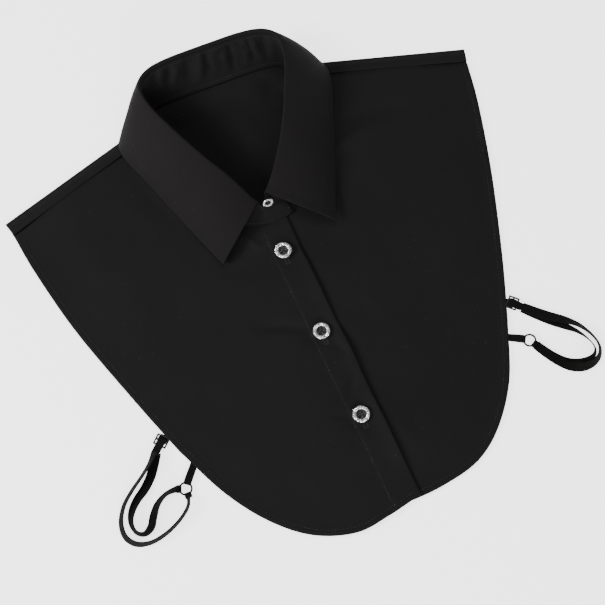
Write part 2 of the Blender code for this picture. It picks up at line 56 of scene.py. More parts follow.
camera_data.sensor_width = 36.0
camera_data.lens = 95.2
camera = bpy.data.objects.new("camera", camera_data)
bpy.context.collection.objects.link(camera)
towards_camera = Vector((math.sin(VIEW_TURN) * math.cos(VIEW_TILT), -math.cos(VIEW_TURN) * math.cos(VIEW_TILT),
                         math.sin(VIEW_TILT)))
camera.location = VIEW_CENTRE + towards_camera * VIEW_DISTANCE
camera.rotation_euler = towards_camera.to_track_quat("Z", "Y").to_euler()
bpy.context.scene.camera = camera

# The straps: 7 mm black elastic, woven with fine ribs along it.  On each side one length is folded in two
# through a wire ring, so an outer and an inner run lie together, loose, from the slider round to the ring.
MM = 0.001
MIDDLE = np.array((2.0, -2.85, 0.0))
STRAP_WIDTH, STRAP_WALL, FLOOR_GAP = 7.0, 0.8, 0.1
# Each run's route: x, y, lift off the floor, and the roll about its own line in degrees.
STRAP_ROUTES = {
    "strap_left_outer": (
        (145.3, -87.6, 1.3, 0), (152.6, -94.6, 1.5, 0), (161.0, -102.2, 1.7, 8), (169.8, -109.2, 1.5, 26),
        (177.6, -117.2, 1.0, 46), (183.0, -127.0, 0.2, 60), (184.6, -136.2, 0.0, 64),
        (181.2, -143.6, 0.0, 64), (174.0, -147.2, 0.2, 54), (165.4, -146.6, 1.0, 30),
        (157.4, -142.0, 1.4, 8), (150.4, -133.4, 1.4, 0), (145.2, -124.6, 1.4, 0), (142.2, -118.4, 1.4, 0)),
    "strap_left_inner": (
        (145.0, -88.0, 0.1, 0), (151.8, -95.8, 0.1, 0), (159.6, -104.2, 0.1, 4), (167.4, -112.6, 0.0, 26),
        (174.2, -120.4, 0.0, 50), (179.0, -128.8, 0.0, 66), (180.8, -136.6, 0.0, 70),
        (178.0, -141.6, 0.0, 70), (172.2, -143.6, 0.0, 60), (165.0, -143.0, 0.0, 34),
        (158.0, -139.2, 0.1, 8), (151.2, -132.0, 0.1, 0), (145.8, -124.0, 0.1, 0), (142.5, -118.2, 0.1, 0)),
    "strap_right_outer": (
        (-145.2, -88.4, 1.3, -40), (-151.6, -95.0, 1.2, -58), (-160.0, -101.6, 0.6, -62),
        (-170.6, -109.0, 0.0, -60), (-179.6, -117.2, 0.0, -60), (-185.4, -127.6, 0.0, -60),
        (-186.0, -138.2, 0.0, -62), (-180.4, -146.0, 0.0, -70), (-170.4, -148.8, 0.0, -80),
        (-158.4, -146.8, 0.0, -82), (-146.6, -141.6, 0.0, -84), (-137.6, -134.6, 0.0, -82),
        (-134.4, -127.2, 0.0, -74)),
    "strap_right_inner": (
        (-144.6, -88.8, 0.1, 0), (-149.2, -96.2, 0.1, 0), (-154.6, -103.8, 0.1, -4),
        (-161.6, -110.6, 0.0, -14), (-169.4, -116.2, 0.0, -26), (-175.6, -122.8, 0.0, -40),
        (-178.8, -130.4, 0.0, -60), (-177.8, -138.0, 0.0, -76), (-172.8, -141.4, 0.0, -74),
        (-166.8, -138.4, 0.0, -50), (-162.4, -131.6, 0.0, -48), (-156.6, -124.6, 0.0, -66),
        (-148.6, -120.2, 0.0, -80), (-139.6, -119.6, 0.0, -66)),
}


def metres(point):
    """A point of the garment's plan, in millimetres, as the scene has it."""
    return Vector((np.array(point) - MIDDLE) * MM)


def smoothstep(value, low, high):
    """0 below low, 1 above high, and an even S between."""
    t = np.clip((np.asarray(value, dtype=float) - low) / (high - low), 0.0, 1.0)
    return t * t * (3.0 - 2.0 * t)


def through(points, places):
    """A smooth curve through rows of numbers, read at places given as fractional row numbers."""
    points = np.asarray(points, dtype=float)
    places = np.atleast_1d(np.asarray(places, dtype=float))
    knots = np.vstack([2.0 * points[0] - points[1], points, 2.0 * points[-1] - points[-2]])
    index = np.minimum(places.astype(int), len(points) - 2)
    t = (places - index)[:, None]
    a, b, c, d = (knots[index + k] for k in range(4))
    return 0.5 * (2.0 * b + (c - a) * t + (2.0 * a - 5.0 * b + 4.0 * c - d) * t ** 2
                  + (3.0 * b - a - 3.0 * c + d) * t ** 3)


def lengths_along(points):
    """The distance along a line of points to each of them."""
    steps = np.linalg.norm(np.diff(np.asarray(points, dtype=float), axis=0), axis=1)
    return np.concatenate([[0.0], np.cumsum(steps)])


def read_along(points, distances):
    """Points of a line at distances along it."""
    points = np.asarray(points, dtype=float)
    run = lengths_along(points)
    return np.column_stack([np.interp(distances, run, column) for column in points.T])


def add_piece(name, form, material, slot, *nodes):
    """Turn a finished mesh into a piece of the garment, standing for its nodes."""
    mesh = bpy.data.meshes.new(name)
    form.to_mesh(mesh)
    form.free()
    mesh.materials.append(material)
    mesh.shade_smooth()
    piece = bpy.data.objects.new(name, mesh)
    bpy.context.collection.objects.link(piece)
    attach(piece, "root")
    if nodes:
        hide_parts(*nodes)
    return piece


def woven(name, points, wall, material, slot, *nodes):
    """A woven piece: a grid laid on rows of points, with its threads' run as UV, then given its wall."""
    rows, cols = points.shape[:2]
    form = bmesh.new()
    bmesh.ops.create_grid(form, x_segments=cols - 1, y_segments=rows - 1, size=1.0)
    thread = form.loops.layers.uv.new("thread")
    runs = []
    for axis in (1, 0):
        steps = np.nan_to_num(np.linalg.norm(np.diff(points, axis=axis), axis=2))
        runs.append(np.insert(np.cumsum(steps, axis=axis), 0, 0.0, axis=axis))
    places, outside = {}, []
    for vert in form.verts:
        place = (round((vert.co.y + 1.0) * 0.5 * (rows - 1)), round((vert.co.x + 1.0) * 0.5 * (cols - 1)))
        places[vert] = place
        if np.isnan(points[place][0]):
            outside.append(vert)
        else:
            vert.co = metres(points[place])
    for face in form.faces:
        for loop in face.loops:
            loop[thread].uv = [run[places[loop.vert]] * MM for run in runs]
    bmesh.ops.delete(form, geom=outside, context="VERTS")
    piece = add_piece(name, form, material, slot, *nodes)
    shell = piece.modifiers.new("wall", "SOLIDIFY")
    shell.thickness = wall * MM
    shell.offset = 0.0
    edge = piece.modifiers.new("edge", "BEVEL")
    edge.width = 0.25 * wall * MM
    edge.segments = 2
    edge.limit_method = "ANGLE"
    edge.angle_limit = math.radians(50.0)
    return piece


def plain_material(name, colour, roughness, metallic=0.0, specular=0.5):
    """A material with its node tree, ready for more nodes: tree and shader."""
    material = bpy.data.materials.new(name)
    material.use_nodes = True
    shader = material.node_tree.nodes["Principled BSDF"]
    shader.inputs["Base Color"].default_value = (*colour, 1.0)
    shader.inputs["Roughness"].default_value = roughness
    shader.inputs["Metallic"].default_value = metallic
    shader.inputs["Specular IOR Level"].default_value = specular
    return material, material.node_tree, shader


def node(tree, kind, operation=None, **values):
    """Add a node; values set its inputs by name, or by number as _0, _1."""
    added = tree.nodes.new(kind)
    if operation:
        added.operation = operation
    for key, value in values.items():
        target = added.inputs[int(key[1:])] if key[0] == "_" else added.inputs[key.replace("_", " ")]
        if isinstance(value, bpy.types.NodeSocket):
            tree.links.new(value, target)
        else:
            target.default_value = value
    return added


def maths(tree, operation, *values):
    """What a Math node gives for its values."""
    inputs = {f"_{number}": value for number, value in enumerate(values)}
    return node(tree, "ShaderNodeMath", operation, **inputs).outputs[0]


def weave_group():
    """Plain weave: threads each way that pass over and under each other.  Gives its height, 0 to 1."""
    tree = bpy.data.node_groups.new("plain_weave", "ShaderNodeTree")
    tree.interface.new_socket("Place", in_out="INPUT", socket_type="NodeSocketVector")
    for side in ("Across", "Along"):
        tree.interface.new_socket(side, in_out="INPUT", socket_type="NodeSocketFloat")
    tree.interface.new_socket("Height", in_out="OUTPUT", socket_type="NodeSocketFloat")
    inputs = tree.nodes.new("NodeGroupInput").outputs
    split = node(tree, "ShaderNodeSeparateXYZ", _0=inputs["Place"])
    threads = [maths(tree, "MULTIPLY", split.outputs[axis], inputs[count])
               for axis, count in (("X", "Across"), ("Y", "Along"))]
    bulges = [maths(tree, "ABSOLUTE", maths(tree, "SINE", maths(tree, "MULTIPLY", count, math.pi)))
              for count in threads]
    cell = node(tree, "ShaderNodeCombineXYZ", _0=threads[0], _1=threads[1], _2=0.5)
    over = node(tree, "ShaderNodeTexChecker", Vector=cell.outputs[0], Scale=1.0)
    height = node(tree, "ShaderNodeMix", _0=over.outputs["Fac"], _2=bulges[0], _3=bulges[1])
    output = tree.nodes.new("NodeGroupOutput")
    tree.links.new(height.outputs[0], output.inputs["Height"])
    return tree


PLAIN_WEAVE = weave_group()


def weave_bump(tree, shader, across, along, depth, strength=0.6):
    """Lay the weave on a material: threads a metre each way, and how deep it is in metres."""
    place = node(tree, "ShaderNodeUVMap")
    place.uv_map = "thread"
    weave = node(tree, "ShaderNodeGroup")
    weave.node_tree = PLAIN_WEAVE
    tree.links.new(place.outputs["UV"], weave.inputs["Place"])
    weave.inputs["Across"].default_value = across
    weave.inputs["Along"].default_value = along
    bump = node(tree, "ShaderNodeBump", Strength=strength, Distance=depth, Height=weave.outputs["Height"])
    tree.links.new(bump.outputs["Normal"], shader.inputs["Normal"])
    return weave.outputs["Height"]


def add_node_noise(tree, scale, detail=2.0):
    """Noise on the piece's own coordinates, in features a metre."""
    place = node(tree, "ShaderNodeTexCoord")
    return node(tree, "ShaderNodeTexNoise", Vector=place.outputs["Object"], Scale=scale, Detail=detail)


def mixed(tree, factor, first, second):
    """Two colours mixed by a value; each is a colour or another mix's output."""
    mix = node(tree, "ShaderNodeMix", _0=factor)
    mix.data_type = "RGBA"
    for socket, colour in ((mix.inputs[6], first), (mix.inputs[7], second)):
        if isinstance(colour, bpy.types.NodeSocket):
            tree.links.new(colour, socket)
        else:
            socket.default_value = (*colour, 1.0)
    return mix.outputs[2]


def tone(tree, shader, factor, dark, light):
    """Colour a material between two tones by a value."""
    tree.links.new(mixed(tree, factor, dark, light), shader.inputs["Base Color"])


def grained(tree, shader, scale, detail, spread, least):
    """Roughness that varies a little over the surface, by fine noise."""
    grain = add_node_noise(tree, scale, detail)
    rough = maths(tree, "MULTIPLY_ADD", grain.outputs["Fac"], spread, least)
    tree.links.new(rough, shader.inputs["Roughness"])


elastic, elastic_tree, elastic_shader = plain_material("black_elastic", (0.006, 0.006, 0.006), 0.9, 0.0, 0.04)
ribs = weave_bump(elastic_tree, elastic_shader, 1600.0, 2400.0, 0.00022, 0.9)
# Painted shade: the elastic is coloured darker in the grooves between its ribs and lighter on their crests, following
# the rib height.
tone(elastic_tree, elastic_shader, ribs, (0.0030, 0.0029, 0.0028), (0.013, 0.0125, 0.012))
elastic_shader.inputs["Sheen Weight"].default_value = 0.01


def band_line(route, steps=8):
    """The middle line of a flat band on its route, and the direction across it."""
    x, y, lift, roll = through(route, np.linspace(0.0, len(route) - 1.0, (len(route) - 1) * steps + 1)).T
    roll = np.radians(roll)
    run = np.gradient(np.column_stack([x, y]), axis=0)
    run /= np.linalg.norm(run, axis=1)[:, None]
    rest = 0.5 * STRAP_WIDTH * np.abs(np.sin(roll)) + 0.5 * STRAP_WALL * np.cos(roll)
    middle = np.column_stack([x, y, lift + rest + FLOOR_GAP])
    return middle, np.column_stack([run[:, 1] * np.cos(roll), -run[:, 0] * np.cos(roll), np.sin(roll)])


def band(name, middle, across, width=STRAP_WIDTH, *nodes):
    """A flat elastic band on its middle line."""
    spread = np.linspace(-0.5, 0.5, 9) * width
    points = middle[:, None, :] + across[:, None, :] * spread[None, :, None]
    return woven(name, points, STRAP_WALL - 0.05, elastic, "elastic", *(nodes or (name,)))


strap_middles = {}
for name, route in STRAP_ROUTES.items():
    middle, across = band_line(route)
    strap_middles[name] = middle
    place = [tuple((point - MIDDLE) * MM) for point in middle]
    band(name, middle, across)

# The collar's stand: a band of interfaced poplin sewn into the neck seam, whose ends lap and button in
# front.  Its inner face is eased round the back of the neck and puckers between its two seams.
CLOTH, GAP = 1.0, 0.3
LAYER = CLOTH + GAP
SEAM_STAND, ROLL_RADIUS = 1.1, 1.2
LEAF_END, STAND_LAP = 0.985, 0.085
NECK_CENTRE = np.array((0.0, 110.0, 15.0))
# From the centre back to the centre front on the +X side: neck seam, top of the roll and the leaf's free
# edge, x y z each, and how far the leaf bows out in degrees.
COLLAR = (
    (0.0, 167.0, 8.0, 0.0, 187.2, 31.0, 0.0, 166.0, 0.9, 30.0),
    (28.0, 167.0, 8.0, 28.0, 186.8, 31.0, 31.0, 166.5, 0.9, 30.0),
    (48.0, 165.5, 7.7, 45.0, 184.0, 31.0, 57.0, 168.0, 1.0, 26.0),
    (58.0, 161.0, 7.2, 54.5, 177.5, 30.5, 76.0, 164.5, 2.6, 18.0),
    (62.0, 153.0, 6.8, 57.0, 168.0, 30.0, 86.0, 153.0, 5.2, 14.0),
    (63.5, 140.0, 6.4, 54.0, 152.5, 29.2, 86.0, 137.0, 4.9, 12.0),
    (60.0, 118.0, 6.0, 45.0, 131.0, 28.0, 78.0, 114.0, 4.8, 12.0),
    (51.0, 92.0, 6.0, 35.0, 110.5, 26.5, 70.0, 90.5, 4.8, 12.0),
    (38.0, 67.0, 5.8, 24.0, 91.5, 23.5, 61.0, 64.0, 4.9, 12.0),
    (20.0, 48.5, 5.4, 11.0, 74.0, 19.8, 53.0, 41.0, 5.4, 12.0),
    (0.0, 43.0, 5.0, 0.0, 63.2, 17.0, 47.0, 24.0, 6.5, 12.0),
)
# The laid leaf is not quite even: side, place, reach, and how far its free edge is drawn in there.
LEAF_LAY = ((-1, 0.31, 0.09, 9.0), (1, 1.0, 0.30, 4.5))
# The collar's front ends sink as it lies open: side, and how far the top of the roll is drawn there.
ROLL_RISE = 1.7
FRONT_SINK = {-1: (-4.4, -6.0, -2.2), 1: (-1.2, -2.2, -0.6)}
# Puckers of the stand's inner face at the back: x, lean to +X from foot to top, half width and height.
STAND_WALL = 0.9
# The stand's rows that are stitched: above the neck seam and below the roll.
FOOT_STITCHES, TOP_STITCHES = 4, 17
STAND_PUCKERS = (
    (-55.0, 4.0, 2.6, 0.7), (-48.5, 8.0, 2.6, -0.7), (-41.0, 9.0, 3.4, 1.0), (-34.0, 10.0, 2.2, -0.6),
    (-27.0, 8.0, 4.2, 1.1), (-16.0, 4.0, 3.2, -0.7), (-7.5, 6.0, 3.2, 1.5), (-1.5, 3.0, 2.0, -0.6),
    (3.5, 3.0, 2.2, 0.5), (11.5, -3.0, 4.4, 1.7), (18.5, 2.0, 1.8, -0.8), (23.5, 3.0, 2.2, 0.5),
    (30.5, 5.5, 3.2, 1.2), (36.0, -3.0, 1.8, -0.6), (41.0, -4.0, 3.0, 1.2), (47.5, 6.0, 2.2, -0.8),
    (52.5, 4.0, 2.4, 0.8),
)


def unit(vector):
    return vector / np.linalg.norm(vector)


def collar_lines(place, side):
    """Neck, roll, edge and bow of the collar at a place from 0, centre back, to 1, centre front."""
    row = through(COLLAR, place * (len(COLLAR) - 1))[0]
    neck, roll, edge = (row[k:k + 3] * (side, 1.0, 1.0) for k in (0, 3, 6))
    for lay_side, lay_place, reach, inward in LEAF_LAY:
        if lay_side == side:
            edge[0] -= side * inward * math.exp(-((place - lay_place) / reach) ** 2)
    roll = roll + unit(roll - neck) * (ROLL_RISE * (1.0 - float(smoothstep(place, 0.4, 0.8))))
    roll = roll + np.array(FRONT_SINK[side]) * float(smoothstep(place, 0.80, 1.0))
    return neck, roll, edge, row[9]


def stand_outward(place, side):
    """The direction out of the stand's outer face."""
    neck, roll, _, _ = collar_lines(place, side)
    run = collar_lines(min(place + 0.02, 1.0), side)[0] - collar_lines(max(place - 0.02, 0.0), side)[0]
    outward = unit(np.cross(run, roll - neck))
    return outward if outward @ (neck - NECK_CENTRE) > 0.0 else -outward


def lapped(place, side, past_front=False):
    """How far the stand steps out (right end, on top) or in (left end, beneath) for its lap."""
    over = (side < 0) != past_front
    return (1.0 if over else -1.0) * (0.5 * LAYER + 0.1) * float(smoothstep(place, 0.70, 0.84))


def foot(place, side):
    """The stand's foot; a place past 1 is on the lapped end, across the centre front."""
    past = place > 1.0
    place, side = (2.0 - place, -side) if past else (place, side)
    return collar_lines(place, side)[0] + stand_outward(place, side) * lapped(place, side, past)


def cotton_material(name, dark, light, dust, lint_spread=150.0, lint_size=0.055):
    """Black poplin: two near blacks in soft patches, a fine weave, and specks of lint.  Dust is how many."""
    material, tree, shader = plain_material(name, light, 0.78, 0.0, 0.10)
    patches = add_node_noise(tree, 14.0)
    slub = add_node_noise(tree, 900.0, 4.0)
    weave = weave_bump(tree, shader, 2900.0, 2600.0, 0.00009)
    colour = mixed(tree, patches.outputs["Fac"], dark, light)
    threads = maths(tree, "MULTIPLY", slub.outputs["Fac"], 0.5)
    colour = mixed(tree, threads, colour, tuple(1.5 * c for c in light))
    place = node(tree, "ShaderNodeTexCoord")
    cells = node(tree, "ShaderNodeTexVoronoi", Vector=place.outputs["Object"], Scale=lint_spread)
    near = maths(tree, "LESS_THAN", cells.outputs["Distance"], lint_size)
    chance = node(tree, "ShaderNodeSeparateColor", Color=cells.outputs["Color"])
    few = maths(tree, "GREATER_THAN", chance.outputs[0], 0.8 - 0.4 * dust)
    faint = maths(tree, "MULTIPLY", maths(tree, "MULTIPLY", near, few), dust)
    tone(tree, shader, faint, colour, (0.075, 0.075, 0.08))
    tree.links.new(maths(tree, "MULTIPLY_ADD", weave, 0.12, 0.70), shader.inputs["Roughness"])
    shader.inputs["Sheen Weight"].default_value = 0.03
    shader.inputs["Sheen Roughness"].default_value = 0.5
    return material


cotton = cotton_material("black_poplin", (0.0072, 0.0065, 0.0069), (0.0108, 0.0101, 0.0105), 0.45)
stitch_thread, thread_tree, thread_shader = plain_material("black_thread", (0.02, 0.02, 0.021), 0.5, 0.0, 0.4)
# A few stitches, picked at random, are painted lighter: painted sheen standing in for the glint of the glossy thread,
# while the rest keep the thread's near black.
each_stitch = add_node_noise(thread_tree, 330.0, 1.0)
painted_sheen_stitches = node(thread_tree, "ShaderNodeMapRange", Value=each_stitch.outputs["Fac"], From_Min=0.55, From_Max=0.74)
tone(thread_tree, thread_shader, painted_sheen_stitches.outputs[0], (0.008, 0.008, 0.008), (0.052, 0.052, 0.054))
ply = add_node_noise(thread_tree, 2500.0)
ply_bump = node(thread_tree, "ShaderNodeBump", Strength=0.5, Distance=0.0001, Height=ply.outputs["Fac"])
thread_tree.links.new(ply_bump.outputs["Normal"], thread_shader.inputs["Normal"])


def outward_of(points):
    """The direction out of a grid of points at each of them."""
    down, across = np.gradient(points, axis=0), np.gradient(points, axis=1)
    normal = np.cross(down, across)
    return normal / np.maximum(np.linalg.norm(normal, axis=2), 1e-9)[..., None]


def sew(name, lines, pitch=2.7, length=2.0, width=0.42, thread=None):
    """Rows of lock stitches, a bead of thread for each.  A line is its points and the cloth's up there."""
    form = bmesh.new()
    for points, ups in lines:
        run = lengths_along(points)
        centres = np.arange(0.5 * pitch, run[-1] - 0.4 * pitch, pitch)
        middles = read_along(points, centres)
        heads = read_along(points, centres + 0.3 * pitch) - read_along(points, centres - 0.3 * pitch)
        ups = np.column_stack([np.interp(centres, run, column) for column in np.asarray(ups).T])
        for middle, head, up in zip(middles, heads, ups):
            head = Vector(head).normalized()
            side = head.cross(Vector(up)).normalized()
            top = side.cross(head)
            shape = Matrix((side * (0.5 * width * MM), top * (0.4 * width * MM), head * (0.5 * length * MM)))
            shape = shape.transposed().to_4x4()
            shape.translation = metres(middle)
            bmesh.ops.create_uvsphere(form, u_segments=6, v_segments=4, radius=1.0, matrix=shape)
    return add_piece(name, form, thread or stitch_thread, "cotton")


def stand_points():
    """The stand's middle: rows of points up it, station by station from its left end to its right end."""
    lap = np.linspace(1.0, 1.0 + STAND_LAP, 9)[1:]
    places = [*np.linspace(0.0, 0.40, 150), *np.linspace(0.40, 1.0, 70)[1:], *lap]
    stations = [(place, 1) for place in places[::-1]] + [(place, -1) for place in places[1:]]
    up_places = np.array((0.0, 0.03, 0.055, 0.08, 0.11, 0.15, 0.2, 0.26, 0.33, 0.4, 0.47, 0.54, 0.61, 0.68, 0.75,
                          0.82, 0.88, 0.92, 0.96, 1.0))
    rows = []
    for place, side in stations:
        base = foot(place, side)
        at = (min(place, 2.0 - place), side if place <= 1.0 else -side)
        neck, roll, _, _ = collar_lines(*at)
        out = stand_outward(*at)
        rise = unit(roll - neck) * (np.linalg.norm(roll - neck) - SEAM_STAND - GAP - 0.1)
        inward = np.zeros(len(up_places))
        for across, lean, width, height in STAND_PUCKERS:
            distance = base[0] - across - lean * (up_places - 0.5)
            inward += 1.25 * height * np.exp(-(distance / (1.3 * width)) ** 2)
        inward *= 1.0 - float(smoothstep(place, 0.30, 0.50))
        bend = [noise.noise(Vector((base[0], base[1], 40.0 * t)) / 7.0) for t in up_places]
        inward = 1.15 * inward * (1.0 + 0.9 * np.array(bend)) + 0.5 * np.array(bend)
        inward *= smoothstep(up_places, 0.08, 0.62) * (1.0 - smoothstep(up_places, 0.84, 0.96))
        inward += 0.35 * np.exp(-((up_places - 0.055) / 0.03) ** 2)
        rows.append(base + rise * up_places[:, None] - out * (inward * 0.8)[:, None])
    return np.array(rows)


stand = stand_points()
collar_stand = woven("collar_stand", stand, STAND_WALL, cotton, "cotton", "collar_stand")
stand_out = outward_of(stand)
if stand_out[len(stand) // 2, 7] @ (0.0, 1.0, 0.0) < 0.0:
    stand_out = -stand_out
sewn = slice(10, len(stand) - 10)
seams = []
for row, face in ((FOOT_STITCHES, -1.0), (TOP_STITCHES, -1.0), (FOOT_STITCHES, 1.0)):
    up = face * stand_out[sewn, row]
    seams.append((stand[sewn, row] + up * 0.5 * STAND_WALL, up))
stand_stitches = sew("stand_stitches", seams, pitch=2.3, length=1.7, width=0.38)

# The collar's leaf: two layers of poplin on interfacing, turned and pressed, sewn into the stand's top,
# rolled over and laid down to a point at each front.
LEAF_WALL, ROLL_STEPS = 0.95, 12


def leaf_section(place, side):
    """From the seam on the stand up, over the roll and down to the free edge."""
    neck, roll, edge, bow = collar_lines(place, side)
    out = stand_outward(place, side)
    shift = out * lapped(place, side)
    neck, roll = neck + shift, roll + shift
    up = Vector(unit(roll - neck))
    chord = unit(edge - roll)
    off_chord = unit(out - chord * (out @ chord))
    fall = Vector(unit(chord + off_chord * math.tan(math.radians(bow))))
    turn = up.angle(fall)
    points = [roll - np.array(up) * SEAM_STAND * t for t in (1.0, 0.85, 0.6, 0.3, 0.0)]
    for i in range(ROLL_STEPS):
        heading = np.array(up.slerp(fall, (i + 0.5) / ROLL_STEPS))
        points.append(points[-1] + heading * (ROLL_RADIUS * turn / ROLL_STEPS))
    start = points[-1]
    control = start + np.array(fall) * (0.45 * np.linalg.norm(edge - start))
    for t in list(np.linspace(0.0, 0.92, 24)[1:]) + [0.945, 0.965, 0.985, 1.0]:
        points.append(start * (1 - t) ** 2 + control * 2 * t * (1 - t) + edge * t * t)
    return points


def leaf_points():
    """The leaf's middle, station by station from its left point round the back to its right point."""
    places = np.concatenate([np.linspace(0.0, 0.96, 100), np.linspace(0.962, LEAF_END, 8)])
    rows = [leaf_section(place, 1) for place in places[::-1]]
    rows += [leaf_section(place, -1) for place in places[1:]]
    points = np.array(rows)
    out = outward_of(points)
    if out[len(points) // 2, 30] @ (0.0, 1.0, 0.2) < 0.0:
        out = -out
    fall = np.linspace(0.0, 1.0, points.shape[1])[None, :]
    to_edge = np.cumsum(np.linalg.norm(np.diff(points[:, ::-1], axis=1), axis=2), axis=1)
    to_edge = np.hstack([np.zeros((len(points), 1)), to_edge])[:, ::-1]
    ends = lengths_along(points[:, points.shape[1] // 2])
    to_end = np.minimum(ends, ends[-1] - ends)[:, None]
    border = np.exp(-((np.minimum(to_edge, to_end) - 5.0) / 1.1) ** 2)
    points = points - out * (0.22 * border)[..., None]
    soft = np.array([[noise.noise(Vector((x, y, z)) / 24.0) for x, y, z in row] for row in points])
    points = points + out * (0.55 * soft * smoothstep(fall, 0.35, 0.7))[..., None]
    point_lift = smoothstep(np.linspace(1.0, 0.0, len(points)), 0.86, 1.0)[:, None] * smoothstep(fall, 0.5, 1.0)
    points[..., 2] = np.maximum(points[..., 2] + 1.6 * point_lift, 0.5 * LEAF_WALL + 0.15)
    return points


fused_cotton = cotton_material("fused_poplin", (0.0072, 0.0064, 0.0065), (0.0108, 0.0096, 0.0096), 0.55, 220.0, 0.075)
collar_leaf = woven("collar_leaf", leaf_points(), LEAF_WALL, fused_cotton, "cotton", "collar_leaf")

# The two fronts: single poplin with a narrow turned and stitched hem.  They lie over the back, puffed a
# little off it, and rise to the neck seam; buttons hold them down, and pulls run from the buttons.
LAP, PLACKET_LEAN = 13.0, 0.031
TOP_BUTTON_Y, BUTTON_PITCH = 20.0, 69.5
NECK_TUCK, NECK_RISE, SHOULDER_PLACE = 0.2, 24.0, 0.355
BACK_Z, FRONT_Z = 0.5 * CLOTH, 0.5 * CLOTH + LAYER
FOLD = ((62.2, 160.5), (189.5, 122.0))
FORWARD_SEAM = ((65.6, 150.0), (187.0, 112.0))
SHOULDER_SHIFT, SHOULDER_SKEW, LEFT_EASE = 2.0, 2.5, 2.3
FRONT_WALL = 0.8
# Stitch lines inside the hem and the placket, and the cloth's close lines along hem, placket and seam.
HEM_STITCH, PLACKET_STITCH = 4.2, 21.4
HEM_LINES = np.array((0.0, 0.4, 1.0, 2.0, 3.2, 3.9, 4.3, 4.7, 5.4, 6.4, 8.0, 10.0))
PLACKET_LINES = np.array((0.0, 0.4, 1.0, 2.0, 3.5, 5.5, 8.0, 10.5, 13.0, 15.5, 18.0, 20.0, 21.0, 21.4, 21.8,
                          22.4, 23.6, 25.5))
SEAM_LINES = np.array((0.0, 0.4, 1.0, 2.0, 3.5))
PLACKET_SWAY = 1.1
SIDE = ((187.0, 111.7), (181.0, 76.0), (167.0, 19.0), (146.0, -46.0), (129.0, -94.0))
RIGHT_HEM = ((129.0, -94.0), (110.0, -135.0), (88.0, -166.0), (63.0, -187.0), (34.0, -197.0), (8.0, -194.5),
             (-18.5, -189.0))
LEFT_HEM = ((130.4, -94.0), (112.8, -135.0), (90.0, -165.0), (66.0, -182.0), (36.0, -189.0), (8.0, -190.5),
            (-9.0, -190.0))
# Soft creases laid in the fronts: from x y to x y, half width, height (a trough is negative) and bow.
CREASES = (
    (-42.0, -30.0, -10.0, -43.0, 4.0, -1.7, 1.5), (-54.0, 24.0, -11.0, 14.0, 11.0, -1.3, 4.0),
    (-27.0, 45.0, -13.0, 27.0, 3.0, 1.6, -2.0), (-33.0, 40.0, -22.0, 24.0, 3.5, -1.6, -2.0),
    (9.0, -90.0, -4.0, -106.0, 3.2, -1.6, 1.0), (0.0, -54.0, 10.0, -72.0, 2.6, -1.5, 1.0),
    (-18.0, -113.5, -7.0, -115.0, 1.7, -1.5, 0.0), (-92.0, 26.0, -104.0, -14.0, 15.0, -1.3, 5.0),
    (62.0, 95.0, 124.0, 102.0, 6.0, -2.6, 1.0), (64.0, 83.0, 120.0, 90.0, 6.0, 2.2, 1.0),
    (80.0, 106.0, 112.0, 118.0, 6.0, 1.1, 2.0),
    (-158.0, -6.0, -144.0, -37.0, 8.0, 0.7, 1.0), (-112.0, -52.0, -141.0, -64.0, 7.0, -0.8, 2.0),
    (103.0, -60.0, 52.0, -130.0, 17.0, -1.0, 8.0), (-98.0, -48.0, -70.0, -110.0, 14.0, -0.9, -6.0),
    (38.0, -24.0, 88.0, 30.0, 20.0, 0.8, 6.0), (150.0, 44.0, 124.0, -24.0, 12.0, 0.7, 5.0),
    (-150.0, 70.0, -110.0, 40.0, 12.0, 0.7, 4.0), (-128.0, 92.0, -86.0, 66.0, 11.0, -0.8, 4.0),
    (24.0, 20.0, 60.0, 6.0, 10.0, -0.8, -3.0), (128.0, -72.0, 108.0, -50.0, 8.0, -0.8, 2.0),
    (16.0, -30.0, 44.0, -62.0, 9.0, -0.7, 3.0), (12.0, -120.0, 34.0, -160.0, 8.0, 0.6, 2.0),
)
BUTTON_PLACES = [(PLACKET_LEAN * BUTTON_PITCH * (number - 1), TOP_BUTTON_Y - BUTTON_PITCH * number)
                 for number in range(3)]


def patch(top, bottom, start, end):
    """Fill four edges with a smooth patch: rows run from top to bottom."""
    top, bottom, start, end = (np.asarray(line, dtype=float) for line in (top, bottom, start, end))
    v = np.linspace(0.0, 1.0, len(start))[:, None, None]
    u = np.linspace(0.0, 1.0, len(top))[None, :, None]
    ruled = (1 - v) * top[None] + v * bottom[None] + (1 - u) * start[:, None] + u * end[:, None]
    corners = ((1 - u) * (1 - v) * top[0] + u * (1 - v) * top[-1]
               + (1 - u) * v * bottom[0] + u * v * bottom[-1])
    return ruled - corners


def smooth_line(points, fractions):
    """The smooth curve through the points, read at fractions of its length."""
    fine = through(points, np.linspace(0.0, len(points) - 1.0, 16 * len(points)))
    return read_along(fine, np.asarray(fractions) * lengths_along(fine)[-1])


def shoulder_line(ends, side):
    """A shoulder line's neck end and tip on one side, as the garment is laid."""
    (neck_x, neck_y), (tip_x, tip_y) = ends
    skew = side * SHOULDER_SKEW
    shift = SHOULDER_SHIFT + (LEFT_EASE if side > 0 else 0.0)
    return np.array((side * neck_x, neck_y + skew)), np.array((side * tip_x + shift, tip_y + skew))


def side_line(side, tip=()):
    """The plan of a front's side edge, from the shoulder down."""
    rows = []
    for x, y in SIDE:
        turn = float(smoothstep(y, 20.0, 110.0))
        ease = LEFT_EASE * float(smoothstep(y, -150.0, -60.0)) if side > 0 else 0.0
        rows.append((side * x + SHOULDER_SHIFT * turn + ease, y + side * SHOULDER_SKEW * turn))
    return list(tip) + rows


BACK = 0
FOOT_LINES = {side: np.array([foot(place, side) for place in np.linspace(SHOULDER_PLACE, 1.08, 160)])
              for side in (-1, 1)}
FOOT_LINES[BACK] = np.array([foot(place, 1) for place in np.linspace(0.0, SHOULDER_PLACE, 100)])


